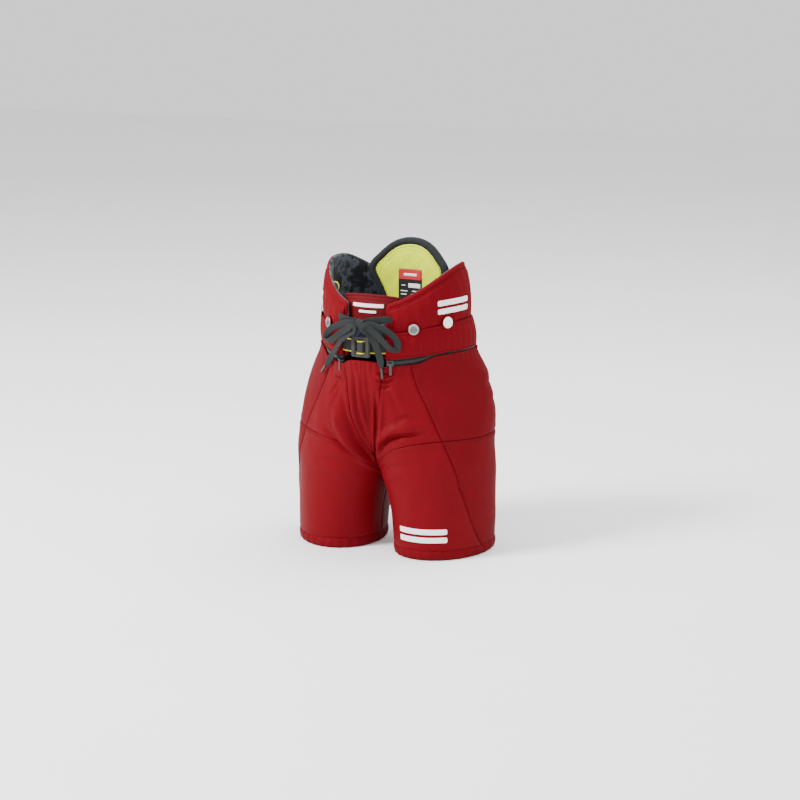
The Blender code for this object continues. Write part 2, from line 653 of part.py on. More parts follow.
def buckle(parts, cutters, grey, parent):
    middle_h = BUCKLE_Z - GIRDLE_FRONT_Z
    back_y = belt_face_y(0.010, middle_h) - BUCKLE_CLEARANCE
    centre = Vector((0.0, back_y - BUCKLE_THICKNESS / 2, BUCKLE_Z))
    place = Matrix.Translation(centre)
    bar = pivot("buckle_bar_axis", place, parts, parent)
    size = (BUCKLE_WIDTH, BUCKLE_THICKNESS, BUCKLE_HEIGHT)
    frame = placed("buckle_frame", box_mesh("buckle_frame", size, (0.0, 0.0, 0.0)), place, parts, grey)
    carry(frame, bar)
    width = BUCKLE_WINDOW_REACH - BUCKLE_BAR_HALF
    middle = 0.5 * (BUCKLE_WINDOW_REACH + BUCKLE_BAR_HALF)
    for end in (-1, 1):
        window_size = (width, 3.0 * BUCKLE_THICKNESS, BUCKLE_WINDOW_HEIGHT)
        window = box_mesh(f"buckle_window_{end}", window_size, (end * middle, 0.0, 0.0))
        combine(frame, window, place, "DIFFERENCE", cutters)
    edge = frame.modifiers.new("edges", "BEVEL")
    edge.width = 0.0006
    edge.segments = 1
    edge.limit_method = "ANGLE"


def snap(name, side, t, parts, steel, parent):
    """A dished snap cap on the tunnel's top seam, with its stem passing above the tunnel's edge."""
    rim = SNAP_RADIUS
    outline = ((0.0, 0.0007), (0.62 * rim, 0.0009), (0.76 * rim, 0.0020), (0.94 * rim, 0.0017), (rim, 0.0008),
               (0.95 * rim, 0.0), (SNAP_STEM_RADIUS, 0.0), (SNAP_STEM_RADIUS, -0.0030), (0.0, -0.0030))
    place = girdle_frame(side, t, tunnel_height(t) + SNAP_STEM_RADIUS + 0.0008, -0.0004)
    turned(name, outline, 20, place, parts, steel, parent)


def eyelet(name, side, parts, steel, parent):
    outline = ((0.0036, 0.0012), (EYELET_OUTER, 0.0006), (EYELET_OUTER, 0.0), (EYELET_INNER, 0.0),
               (EYELET_INNER, 0.0010))
    place = girdle_frame(side, EYELET_T, EYELET_H, WING_DEPTH - 0.0003)
    turned(name, outline, 16, place, parts, steel, parent, closed=True)


# ---- Tongue and back pad ----

def tongue(parts, knit, parent):
    base_t = girdle_share(TONGUE_HALF_WIDTH, 0.0, TONGUE_DEPTH)
    hinge = pivot("tongue_hinge", girdle_point(LEFT, 0.0, TONGUE_BASE_Z - GIRDLE_FRONT_Z, TONGUE_DEPTH), parts,
                  parent)

    def place(u, v, depth):
        across = 2.0 * u - 1.0
        side = LEFT if across >= 0.0 else RIGHT
        z = TONGUE_BASE_Z + (TONGUE_TOP_Z - TONGUE_BASE_Z) * v
        point = girdle_point(side, abs(across) * base_t, z - GIRDLE_FRONT_Z, depth)
        point.z = z
        return point

    sheet("front_tongue", place, 8, 4, TONGUE_DEPTH, TONGUE_THICKNESS, parts, knit, hinge)


def pad_loop():
    """The back pad's closed outline in its own plane, from the lower corner over the top and round."""
    rising = [(width, z) for z, width in BACK_PAD_OUTLINE]
    falling = [(-width, z) for z, width in reversed(BACK_PAD_OUTLINE[:-1])]
    return rising + falling


def pad_place(x, z, depth):
    y = BACK_PAD_BASE_Y + BACK_PAD_LEAN * (z - BACK_PAD_OUTLINE[0][0]) - BACK_PAD_BOW * (x / 0.062) ** 2
    return Vector((x, y + depth + Y_SHIFT, z))


def pad_inset(share, inset):
    """A point on the outline, drawn in towards the pad's centre by inset."""
    loop = pad_loop()
    place = share * len(loop)
    index = int(place) % len(loop)
    k = place - int(place)
    a, b, c, d = (Vector(loop[(index + i) % len(loop)]) for i in (-1, 0, 1, 2))
    point = 0.5 * (2 * b + (c - a) * k + (2 * a - 5 * b + 4 * c - d) * k**2 + (3 * b - 3 * c + d - a) * k**3)
    centre = Vector((0.0, BACK_PAD_CENTRE_Z))
    reach = (point - centre).length
    return centre + (point - centre) * (1.0 - inset / reach)


def back_pad(parts, foam, binding, paper, parent):
    foot = pad_place(0.0, BACK_PAD_OUTLINE[0][0], BACK_PAD_THICKNESS / 2)
    hinge = pivot("back_pad_hinge", foot, parts, parent)
    foam_inset = 2.0 * BACK_PAD_BINDING_RADIUS + 0.0054
    around = 2 * len(pad_loop())

    def place(u, v, depth):
        rim = pad_inset(u, foam_inset)
        centre = Vector((0.0, BACK_PAD_CENTRE_Z))
        point = centre + (rim - centre) * v
        return pad_place(point.x, point.y, depth)

    sheet("back_pad_foam", place, around, 3, 0.0, BACK_PAD_THICKNESS, parts, foam, hinge, weld=True)
    edge = [pad_inset(i / around, BACK_PAD_BINDING_RADIUS) for i in range(around)]
    route = [pad_place(point.x, point.y, BACK_PAD_THICKNESS / 2) for point in edge]
    tube("back_pad_binding", route, BACK_PAD_BINDING_RADIUS, parts, binding, hinge, closed=True)

    def label_place(u, v, depth):
        x, z = (u - 0.5) * LABEL_WIDTH, LABEL_Z + (v - 0.5) * LABEL_HEIGHT
        return pad_place(x, z, depth - LABEL_THICKNESS - 0.0012)

    sheet("size_label", label_place, 4, 1, 0.0, LABEL_THICKNESS, parts, paper, hinge)


# ---- Lace ----

def lace_side(label, route, parts, cord, plastic, parent):
    shifted = [Vector(point) + Vector((0.0, Y_SHIFT, 0.0)) for point in route]
    points = smooth_route(shifted, LACE_STEPS)
    tube(f"lace_{label}", points, LACE_RADIUS, parts, cord, parent)
    direction = (points[-1] - points[-2]).normalized()
    start = points[-1] + direction * 0.0003
    tube(f"aglet_{label}", [start, start + direction * AGLET_LENGTH], AGLET_RADIUS, parts, plastic, parent)


def build():
    clear_scene()
    parts = new_collection(NAME)
    cutters = new_collection("cutters")
    fabric = material("shell_nylon", RED, 0.50)
    matte = material("side_weave", DARK_RED, 0.65)
    knit = material("waist_knit", RED, 0.70)
    foam = material("pad_foam", YELLOW, 0.85)
    plastic = material("guard_plastic", GREY, 0.45)
    lining = material("lining", LINING, 0.80)
    tape = material("zip_tape", BLACK, 0.70)
    webbing = material("webbing", BLACK, 0.75)
    cord = material("lace", LACE, 0.80)
    steel = material("snap_steel", STEEL, 0.25, 1.0)
    paper = material("label", DARK_RED, 0.55)
    girdle = pivot("girdle_carrier", Vector((0.0, Y_SHIFT, GIRDLE_FRONT_Z)), parts)
    for label, side in SIDES:
        shell_half(label, side, parts, fabric, matte)
        shell_padding(label, side, parts, plastic, foam, lining)
        girdle_half(label, side, parts, knit, foam, lining, tape, girdle)
        zip_lower(label, side, parts, tape)
        zip_slider(label, side, parts, cutters, steel)
        snap(f"snap_front_{label}", side, SNAP_FRONT_T, parts, steel, girdle)
        snap(f"snap_side_{label}", side, SNAP_SIDE_T, parts, steel, girdle)
        eyelet(f"eyelet_{label}", side, parts, steel, girdle)
    fly_panel(parts, fabric)
    waist_gusset(parts, lining)
    belt(parts, webbing, girdle)
    buckle(parts, cutters, plastic, girdle)
    tongue(parts, knit, girdle)
    back_pad(parts, foam, tape, paper, girdle)
    lace_side("left", LACE_LEFT, parts, cord, plastic, girdle)
    lace_side("right", LACE_RIGHT, parts, cord, plastic, girdle)


build()
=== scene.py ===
"""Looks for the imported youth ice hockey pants: fabric shell, padded waist, lace, belt, zips and back pad.

Metres, +Z up.  The front faces -Y and the wearer's left is +X.
"""

import math

import bmesh
import bpy
import numpy as np
from mathutils import Matrix, Vector


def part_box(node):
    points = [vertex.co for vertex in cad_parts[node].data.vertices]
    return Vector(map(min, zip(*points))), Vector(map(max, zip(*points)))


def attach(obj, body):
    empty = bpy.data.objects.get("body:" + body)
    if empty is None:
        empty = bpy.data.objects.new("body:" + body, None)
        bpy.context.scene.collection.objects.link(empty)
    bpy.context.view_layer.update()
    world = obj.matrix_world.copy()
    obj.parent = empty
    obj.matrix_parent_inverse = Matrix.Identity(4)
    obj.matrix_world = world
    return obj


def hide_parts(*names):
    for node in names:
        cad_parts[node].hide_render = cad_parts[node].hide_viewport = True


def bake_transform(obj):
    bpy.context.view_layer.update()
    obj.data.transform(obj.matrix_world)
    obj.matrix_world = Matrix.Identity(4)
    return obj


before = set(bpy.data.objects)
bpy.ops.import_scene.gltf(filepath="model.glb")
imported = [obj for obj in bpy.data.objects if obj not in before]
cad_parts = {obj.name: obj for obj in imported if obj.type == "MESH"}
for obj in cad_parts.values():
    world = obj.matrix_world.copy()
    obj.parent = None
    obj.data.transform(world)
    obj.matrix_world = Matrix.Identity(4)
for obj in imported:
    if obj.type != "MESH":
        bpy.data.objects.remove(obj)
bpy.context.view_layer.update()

LEFT, RIGHT = 1, -1
SIDES = (("left", LEFT), ("right", RIGHT))

# The surfaces below repeat part.py's, so that pieces lie where their CAD nodes are. The seams on either side
# of the side panels don't: they run straighter here.
Y_SHIFT = 0.0091
SHELL_SECTIONS = (
    (0.000, 0.0800, 0.0625, 0.0800, 0.000, 17.0, 0.00),
    (0.016, 0.0800, 0.0625, 0.0800, 0.000, 17.0, 0.00),
    (0.060, 0.0780, 0.0650, 0.0815, 0.000, 17.0, 0.00),
    (0.100, 0.0720, 0.0715, 0.0840, 0.000, 16.0, 0.02),
    (0.140, 0.0590, 0.0850, 0.0865, -0.001, 14.0, 0.06),
    (0.200, 0.0340, 0.1050, 0.0890, -0.003, 8.0, 0.24),
    (0.250, 0.0110, 0.1115, 0.0910, -0.005, 3.0, 0.34),
    (0.279, 0.0000, 0.1095, 0.0925, -0.006, 0.0, 0.28),
)
GIRDLE_SECTIONS = (
    (-0.010, 0.1095, 0.0925, 0.28),
    (0.000, 0.1095, 0.0925, 0.28),
    (0.020, 0.1090, 0.0938, 0.24),
    (0.042, 0.1065, 0.0915, 0.21),
    (0.080, 0.1040, 0.0890, 0.19),
    (0.115, 0.1010, 0.0870, 0.18),
    (0.140, 0.1000, 0.0865, 0.18),
)
HEM_HEIGHT = 0.013
CROSS_SEAM_FRONT_Z, CROSS_SEAM_SIDE_Z = 0.112, 0.168
CROSS_SEAM_LEVEL_T, CROSS_SEAM_CURVE = 0.450, 4.2
FLY_TOP_T, FLY_START_Z = 0.128, 0.140
CLOTH_THICKNESS = 0.0012
FLY_BASE_Z, FLY_RISE = 0.1405, 0.0080
LINER_DEPTH = 0.0152
GIRDLE_CENTRE_Y = -0.006
GIRDLE_FRONT_Z = 0.2790
WING_FRONT_T, WING_BACK_T = 0.130, 1.0
WING_DEPTH, WAIST_LINER_DEPTH = 0.0036, 0.0108
ZIP_TAPE_DEPTH, ZIP_TAPE_DROP = 0.0021, 0.0075
GUSSET_DEPTH, GUSSET_BASE_Z = 0.0080, 0.2605
BELT_LOW_H, BELT_WIDTH = 0.0095, 0.0180
WEBBING_DEPTH = 0.0019
SNAP_RADIUS = 0.0078
SNAP_FRONT_T, SNAP_SIDE_T = 0.250, 0.410
EYELET_T, EYELET_H = 0.160, 0.0560
TONGUE_HALF_WIDTH, TONGUE_BASE_Z, TONGUE_TOP_Z = 0.041, 0.290, 0.365
TONGUE_DEPTH, TONGUE_LINING_TOP_Z = 0.0150, 0.3285
BACK_PAD_OUTLINE = (
    (0.296, 0.030), (0.325, 0.040), (0.355, 0.052), (0.384, 0.062), (0.404, 0.048), (0.418, 0.032),
    (0.425, 0.016), (0.427, 0.000),
)
BACK_PAD_CENTRE_Z, BACK_PAD_THICKNESS = 0.3660, 0.0110
BACK_PAD_BINDING_RADIUS = 0.0060
LABEL_Z, LABEL_WIDTH, LABEL_HEIGHT = 0.3600, 0.0360, 0.0450
LACE_WIDTH, LACE_THICKNESS = 0.0098, 0.0015
LACE_LEFT = (
    (0.0405, -0.0880, 0.3356), (0.0360, -0.0928, 0.3360), (0.0276, -0.0971, 0.3358),
    (0.0183, -0.1007, 0.3345), (0.0097, -0.1019, 0.3329), (0.0058, -0.1042, 0.3311),
    (0.0103, -0.1080, 0.3301), (0.0194, -0.1063, 0.3295), (0.0316, -0.1017, 0.3255),
    (0.0427, -0.0962, 0.3178), (0.0499, -0.0911, 0.3064), (0.0489, -0.0912, 0.2959),
    (0.0417, -0.0973, 0.2978), (0.0334, -0.1021, 0.3077), (0.0250, -0.1060, 0.3175),
    (0.0160, -0.1101, 0.3260), (0.0107, -0.1130, 0.3289), (0.0088, -0.1116, 0.3244),
    (0.0145, -0.1081, 0.3188), (0.0207, -0.1044, 0.3086), (0.0253, -0.1022, 0.2955),
    (0.0278, -0.0990, 0.2824), (0.0287, -0.0973, 0.2703),
)
LACE_RIGHT = (
    (-0.0405, -0.0880, 0.3356), (-0.0353, -0.0935, 0.3354), (-0.0266, -0.0983, 0.3340),
    (-0.0176, -0.1009, 0.3327), (-0.0076, -0.1023, 0.3320), (-0.0011, -0.1043, 0.3311),
    (-0.0062, -0.1082, 0.3309), (-0.0176, -0.1068, 0.3302), (-0.0328, -0.1013, 0.3256),
    (-0.0492, -0.0920, 0.3179), (-0.0632, -0.0807, 0.3079), (-0.0675, -0.0766, 0.2992),
    (-0.0583, -0.0851, 0.2978), (-0.0435, -0.0964, 0.3053), (-0.0296, -0.1042, 0.3147),
    (-0.0166, -0.1099, 0.3229), (-0.0082, -0.1131, 0.3269), (-0.0062, -0.1120, 0.3214),
    (-0.0166, -0.1082, 0.3137), (-0.0286, -0.1038, 0.3052), (-0.0412, -0.0955, 0.2914),
    (-0.0552, -0.0849, 0.2759), (-0.0676, -0.0768, 0.2616),
)


# ---- Surfaces, for whole arrays of points ----

def smooth_step(low, high, value):
    share = np.clip((value - low) / (high - low), 0.0, 1.0)
    return share * share * (3.0 - 2.0 * share)


def profile(rows, height):
    """Read the rows' values at a height, on a smooth curve through them."""
    index = next(i for i in range(len(rows) - 1) if height <= rows[i + 1][0] + 1e-9)
    low, high = rows[index], rows[index + 1]
    before, after = rows[max(index - 1, 0)], rows[min(index + 2, len(rows) - 1)]
    span = high[0] - low[0]
    share = (height - low[0]) / span
    values = []
    for k in range(1, len(low)):
        slope_low = (high[k] - before[k]) / (high[0] - before[0]) * span
        slope_high = (after[k] - low[k]) / (after[0] - low[0]) * span
        values.append((2 * share**3 - 3 * share**2 + 1) * low[k]
                      + (share**3 - 2 * share**2 + share) * slope_low
                      + (3 * share**2 - 2 * share**3) * high[k]
                      + (share**3 - share**2) * slope_high)
    return values


def tabulate(rows):
    heights = np.linspace(rows[0][0], rows[-1][0], 500)
    return heights, np.array([profile(rows, z) for z in heights]).T


SHELL_TABLE = tabulate(SHELL_SECTIONS)
GIRDLE_TABLE = tabulate(GIRDLE_SECTIONS)


def read(table, heights):
    return [np.interp(heights, table[0], column) for column in table[1]]


def leg_opening(z, depth=0.0):
    """Half the angle that one trouser half's section spans, and its mean radius."""
    centre_x, half_width, half_depth, _, toe_out, _ = read(SHELL_TABLE, z)
    turn = np.radians(toe_out)
    reach = np.hypot((half_width - depth) * np.cos(turn), (half_depth - depth) * np.sin(turn))
    opening = np.where(centre_x >= reach, math.pi, np.arccos(np.clip(-centre_x / reach, -1.0, 1.0)))
    return opening, 0.5 * (half_width + half_depth) - depth


def shell_points(side, t, z, depth=0.0):
    t, z = np.broadcast_arrays(np.asarray(t, float), np.asarray(z, float))
    centre_x, half_width, half_depth, centre_y, toe_out, skew = read(SHELL_TABLE, z)
    half_width, half_depth, turn = half_width - depth, half_depth - depth, np.radians(toe_out)
    offset = np.arctan2(half_depth * np.sin(turn), half_width * np.cos(turn))
    opening, _ = leg_opening(z, depth)
    angle = offset - opening + 2.0 * opening * t
    x = centre_x + half_width * np.cos(angle) * np.cos(turn) + half_depth * np.sin(angle) * np.sin(turn)
    y = centre_y - half_width * np.cos(angle) * np.sin(turn) + half_depth * np.sin(angle) * np.cos(turn)
    x = x * (1.0 + skew * (y - centre_y) / half_depth)
    return np.stack([side * x, y + Y_SHIFT, z + 0.0 * x], -1)


def girdle_base(t):
    return GIRDLE_FRONT_Z + 0.0075 * smooth_step(0.05, 0.50, t)


def girdle_points(side, t, h, depth=0.0):
    t, h = np.broadcast_arrays(np.asarray(t, float), np.asarray(h, float))
    half_width, half_depth, skew = read(GIRDLE_TABLE, h)
    x = (half_width - depth) * np.sin(math.pi * t) * (1.0 - skew * np.cos(math.pi * t))
    y = GIRDLE_CENTRE_Y - (half_depth - depth) * np.cos(math.pi * t)
    return np.stack([side * x, y + Y_SHIFT, girdle_base(t) + h], -1)


def girdle_share(x, h, depth):
    """The t at which the front of the girdle is x from the middle plane."""
    steps = np.linspace(0.0, 0.5, 400)
    return float(np.interp(x, girdle_points(LEFT, steps, h, depth)[:, 0], steps))


def zip_gap(t):
    return 0.0090 - 0.0070 * smooth_step(0.26, 0.36, t)


def zip_line(t):
    return -0.5 * zip_gap(t) - 0.0002


def shell_top(t):
    return girdle_base(t) - zip_gap(t)


def tunnel_height(t):
    return 0.0360 + 0.0055 * smooth_step(0.05, 0.60, t)


def wing_height(t):
    return 0.0735 + 0.0415 * smooth_step(0.08, 0.58, t) - 0.0330 * smooth_step(0.62, 0.95, t)


def cross_seam(t):
    rise = 1.0 - np.maximum(1.0 - t / CROSS_SEAM_LEVEL_T, 0.0) ** CROSS_SEAM_CURVE
    return CROSS_SEAM_FRONT_Z + (CROSS_SEAM_SIDE_Z - CROSS_SEAM_FRONT_Z) * rise


def diagonal_angle(z):
    return -0.24 - 2.05 * z + 0.45 * np.exp(-z / 0.05)


def back_angle(z):
    return 1.27 - 2.8 * z


def share_at(angle, z):
    """The share t of the section at height z that lies at this angle."""
    _, half_width, half_depth, _, toe_out, _ = read(SHELL_TABLE, z)
    turn = np.radians(toe_out)
    offset = np.arctan2(half_depth * np.sin(turn), half_width * np.cos(turn))
    opening, _ = leg_opening(z)
    return (angle - offset + opening) / (2.0 * opening)


def diagonal_seam(z):
    """The seam between front and side runs straight from the zip down and backwards to the hem."""
    return share_at(diagonal_angle(z), z)


def back_seam(z):
    """The seam between side and back."""
    return share_at(back_angle(z), z)


def fly_edge(z):
    return FLY_TOP_T * (np.maximum(z - FLY_START_Z, 0.0) / 0.14) ** 0.70


def surface_frame(point_at, t, v, step_t=0.004, step_v=0.002):
    """A place on a surface given by point_at(t, v): local y points outwards, local z upwards."""
    here = Vector(point_at(t, v))
    along = Vector(point_at(t + step_t, v)) - Vector(point_at(t - step_t, v))
    up = (Vector(point_at(t, v + step_v)) - Vector(point_at(t, v - step_v))).normalized()
    out = along.cross(up).normalized()
    if out.dot(here - Vector((0.3 * here.x, Y_SHIFT, here.z))) < 0.0:
        out = -out
    axes = Matrix((out.cross(up), out, up)).transposed().to_4x4()
    return Matrix.Translation(here) @ axes


# ---- Mesh makers ----

def add_object(name, mesh, body, slot, *surfaces, replaces=(), smooth=True):
    made = bpy.data.objects.new(name, mesh)
    bpy.context.scene.collection.objects.link(made)
    for surface in surfaces:
        mesh.materials.append(surface)
    if smooth:
        mesh.shade_smooth()
    if body is not None:
        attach(made, body)
    if replaces:
        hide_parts(*replaces)
    return made


def grid_faces(rows, columns, loop_columns=False, loop_rows=False, start=0):
    """The faces between rows of vertices; a loop also joins the last column or row to the first."""
    faces = []
    for i in range(rows if loop_rows else rows - 1):
        low, high = start + i * columns, start + ((i + 1) % rows) * columns
        for j in range(columns if loop_columns else columns - 1):
            after = (j + 1) % columns
            faces.append((low + j, low + after, high + after, high + j))
    return faces


def outward_mesh(name, points, faces, flip):
    mesh = bpy.data.meshes.new(name)
    mesh.from_pydata([tuple(p) for p in points], [], [f[::-1] for f in faces] if flip else faces)
    mesh.update()
    return mesh


def grid_mesh(name, points, side=LEFT, loop_columns=False):
    """A mesh from an array of rows x columns of points."""
    faces = grid_faces(*points.shape[:2], loop_columns)
    return outward_mesh(name, points.reshape(-1, 3), faces, side == RIGHT)


def face_outwards(mesh, weld=0.0):
    """Turn all faces outwards, after joining vertices closer than weld."""
    bm = bmesh.new()
    bm.from_mesh(mesh)
    if weld:
        bmesh.ops.remove_doubles(bm, verts=bm.verts, dist=weld)
    bmesh.ops.recalc_face_normals(bm, faces=bm.faces)
    bm.to_mesh(mesh)
    bm.free()
    return mesh


def thicken(made, thickness, offset=-1.0):
    solid = made.modifiers.new("thickness", "SOLIDIFY")
    solid.thickness = thickness
    solid.offset = offset
    return made


def add_sheet(name, points, side, body, slot, surface, thickness, replaces=(), offset=-1.0):
    """A sheet from rows x columns of points, thickened inwards, or outwards with an offset of 1."""
    made = add_object(name, grid_mesh(name, points, side), body, slot, surface, replaces=replaces)
    return thicken(made, thickness, offset)


def edge_dense(count, share=0.5):
    """Steps from 0 to 1 that lie closer together towards both ends."""
    even = np.linspace(0.0, 1.0, count)
    return (1.0 - share) * even + share * (0.5 - 0.5 * np.cos(math.pi * even))


def spline_point(a, b, c, d, k):
    """The point at share k from b to c on a smooth curve through a, b, c and d."""
    return 0.5 * (2 * b + (c - a) * k + (2 * a - 5 * b + 4 * c - d) * k**2
                  + (3 * b - 3 * c + d - a) * k**3)


def smooth_route(points, steps):
    """Points on a smooth curve through a route's own points."""
    route = [Vector(point) for point in points]
    route = [2 * route[0] - route[1], *route, 2 * route[-1] - route[-2]]
    result = []
    for a, b, c, d in zip(route, route[1:], route[2:], route[3:]):
        result += [spline_point(a, b, c, d, i / steps) for i in range(steps)]
    return [*result, route[-2]]


def sweep(name, route, section, facing, closed=False):
    """Carry a closed section of (across, outwards) pairs along a route that faces out along facing(i)."""
    count = len(route)
    points = []
    for i, here in enumerate(route):
        before = route[(i - 1) % count] if closed or i > 0 else route[i]
        after = route[(i + 1) % count] if closed or i < count - 1 else route[i]
        along = (after - before).normalized()
        out = facing(i)
        out = (out - along * out.dot(along)).normalized()
        across = out.cross(along)
        scale, shape = section(i) if callable(section) else (1.0, section)
        points.extend(here + (across * a + out * b) * scale for a, b in shape)
    ring = len(points) // count
    faces = grid_faces(count, ring, loop_columns=True, loop_rows=closed)
    if not closed:
        faces.append(tuple(reversed(range(ring))))
        faces.append(tuple(range((count - 1) * ring, count * ring)))
    return face_outwards(outward_mesh(name, points, faces, False))


def round_section(radius, sides=12, flatten=1.0):
    turns = [2 * math.pi * k / sides for k in range(sides)]
    return [(radius * math.cos(turn), radius * flatten * math.sin(turn)) for turn in turns]


def turned(name, outline, steps, place, closed=False):
    """A profile of (radius, height) pairs turned about the place's local y axis."""
    points = []
    for k in range(steps):
        angle = 2 * math.pi * k / steps
        points += [place @ Vector((r * math.cos(angle), h, r * math.sin(angle))) for r, h in outline]
    faces = grid_faces(steps, len(outline), loop_columns=closed, loop_rows=True)
    return face_outwards(outward_mesh(name, points, faces, False), weld=1e-6)


def plate(name, outline, windows, place, depth, edge, body, slot, surface, replaces=()):
    """A flat plate with rounded edges in the place's local x-z plane, with windows cut through it."""
    curve = bpy.data.curves.new(name, "CURVE")
    curve.dimensions = "2D"
    curve.fill_mode = "BOTH"
    curve.extrude = depth / 2 - edge
    curve.bevel_depth = edge
    curve.bevel_resolution = 3
    for loop in (outline, *windows):
        spline = curve.splines.new("POLY")
        spline.points.add(len(loop) - 1)
        for target, (x, z) in zip(spline.points, loop):
            target.co = (x, z, 0.0, 1.0)
        spline.use_cyclic_u = True
    shape = bpy.data.objects.new(name + "_curve", curve)
    bpy.context.scene.collection.objects.link(shape)
    bpy.context.view_layer.update()
    mesh = bpy.data.meshes.new_from_object(shape.evaluated_get(bpy.context.evaluated_depsgraph_get()))
    bpy.data.objects.remove(shape)
    mesh.transform(place @ Matrix.Rotation(math.pi / 2, 4, "X"))
    mesh.name = name
    mesh.materials.clear()
    made = add_object(name, mesh, body, slot, surface, replaces=replaces)
    smoother = made.modifiers.new("edges", "WEIGHTED_NORMAL")
    smoother.keep_sharp = False
    return made


def rounded(width, height, radius, centre=(0.0, 0.0), steps=6):
    """A rectangle with round corners."""
    loop = []
    for quarter, (sx, sz) in enumerate(((1, 1), (-1, 1), (-1, -1), (1, -1))):
        for k in range(steps + 1):
            angle = math.pi / 2 * (quarter + k / steps)
            loop.append((centre[0] + sx * (width / 2 - radius) + radius * math.cos(angle),
                         centre[1] + sz * (height / 2 - radius) + radius * math.sin(angle)))
    return loop


STITCH_RINGS = ((-0.50, 0.35), (-0.34, 0.95), (0.0, 1.1), (0.34, 0.95), (0.50, 0.35))


def stitch_rows(name, lines, body, slot, surface, pitch=0.0034, length=0.0025, radius=0.00030):
    """Thread stitches along lines, which are pairs of dense point and outward-normal arrays."""
    points, faces = [], []
    for route, normals in lines:
        steps = np.linalg.norm(np.diff(route, axis=0), axis=1)
        run = np.concatenate([[0.0], np.cumsum(steps)])
        count = int(run[-1] / pitch)
        for k in range(count):
            s = (k + 0.5) * pitch
            here = np.array([np.interp(s, run, route[:, c]) for c in range(3)])
            ahead = np.array([np.interp(min(s + 0.0008, run[-1]), run, route[:, c]) for c in range(3)])
            out = np.array([np.interp(s, run, normals[:, c]) for c in range(3)])
            along = ahead - here
            if not along.any():
                continue
            along /= np.linalg.norm(along)
            out -= along * out.dot(along)
            out /= np.linalg.norm(out)
            across = np.cross(out, along)
            start = len(points)
            for offset, size in STITCH_RINGS:
                lift = 0.00012 - 0.0005 * (abs(offset) * 2) ** 3
                for j in range(5):
                    angle = 2 * math.pi * j / 5
                    points.append(here + along * offset * length + across * radius * size * math.cos(angle)
                                  + out * (radius * size * math.sin(angle) + lift))
            faces += grid_faces(len(STITCH_RINGS), 5, loop_columns=True, start=start)
    return add_object(name, outward_mesh(name, points, faces, True), body, slot, surface)


# ---- Materials ----

def srgb(red, green, blue):
    return tuple(((c / 255 + 0.055) / 1.055) ** 2.4 if c > 10 else c / 3294.6 for c in (red, green, blue))


class Surface:
    """A node material on object coordinates, so that it needs no UVs."""

    def __init__(self, name, roughness, metallic=0.0, sheen=0.0, coat=0.0, tint=(1.0, 1.0, 1.0), gloss=0.5):
        self.material = bpy.data.materials.new(name)
        self.material.use_nodes = True
        self.tree = self.material.node_tree
        self.shader = self.tree.nodes["Principled BSDF"]
        self.shader.inputs["Roughness"].default_value = roughness
        self.shader.inputs["Metallic"].default_value = metallic
        self.shader.inputs["Specular IOR Level"].default_value = gloss
        self.shader.inputs["Sheen Weight"].default_value = sheen
        self.shader.inputs["Sheen Roughness"].default_value = 0.45
        self.shader.inputs["Sheen Tint"].default_value = (*tint, 1.0)
        self.shader.inputs["Coat Weight"].default_value = coat
        self.place = self.tree.nodes.new("ShaderNodeTexCoord").outputs["Object"]

    def node(self, kind, links=(), **settings):
        made = self.tree.nodes.new(kind)
        for key, value in settings.items():
            setattr(made, key, value)
        for socket, source in dict(links).items():
            if isinstance(source, (int, float, tuple)):
                made.inputs[socket].default_value = source
            else:
                self.tree.links.new(source, made.inputs[socket])
        return made

    def noise(self, scale, detail=3.0, rough=0.55):
        settings = {"Vector": self.place, "Scale": scale, "Detail": detail, "Roughness": rough}
        return self.node("ShaderNodeTexNoise", settings).outputs["Fac"]

    def math(self, operation, a, b=0.0):
        return self.node("ShaderNodeMath", {0: a, 1: b}, operation=operation).outputs[0]

    def ramp(self, source, stops, constant=False):
        made = self.node("ShaderNodeValToRGB", {"Fac": source})
        elements = made.color_ramp.elements
        if constant:
            made.color_ramp.interpolation = "CONSTANT"
        while len(elements) < len(stops):
            elements.new(0.5)
        for element, (at, colour) in zip(elements, stops):
            element.position = at
            element.color = (*colour, 1.0)
        return made.outputs["Color"]

    def colour(self, source):
        self.tree.links.new(source, self.shader.inputs["Base Color"])

    def shaded_colour(self, base, relief, dark, full, share):
        """The base colour with painted shade: darkened to dark where the relief is low, from 1 at full
        upwards.
        """
        shade = self.ramp(relief, ((0.0, (dark, dark, dark)), (full, (1.0, 1.0, 1.0))))
        links = {0: share, 6: base, 7: shade}
        mixed = self.node("ShaderNodeMix", links, data_type="RGBA", blend_type="MULTIPLY")
        self.colour(mixed.outputs[2])

    def rough(self, source, low, high):
        made = self.node("ShaderNodeMapRange", {"Value": source, "To Min": low, "To Max": high})
        self.tree.links.new(made.outputs["Result"], self.shader.inputs["Roughness"])

    def bump(self, height, strength, distance):
        made = self.node("ShaderNodeBump", {"Height": height, "Strength": strength, "Distance": distance})
        self.tree.links.new(made.outputs["Normal"], self.shader.inputs["Normal"])

    def threads(self, pitch, turn=0.0):
        """A plain weave of threads at this pitch in metres, from two crossed bands."""
        rotation = (turn, turn, turn)
        turned_place = self.node("ShaderNodeMapping", {"Vector": self.place, "Rotation": rotation})
        scale = 0.314 / pitch
        bands = [self.node("ShaderNodeTexWave", {"Vector": turned_place.outputs["Vector"], "Scale": scale,
                                                 "Distortion": 0.6, "Detail": 1.0, "Detail Scale": 0.4},
                           bands_direction=axis).outputs["Fac"] for axis in ("DIAGONAL", "Z")]
        return self.math("MULTIPLY", bands[0], bands[1])


def scaled(colour, share):
    return tuple(min(c * share, 1.0) for c in colour)


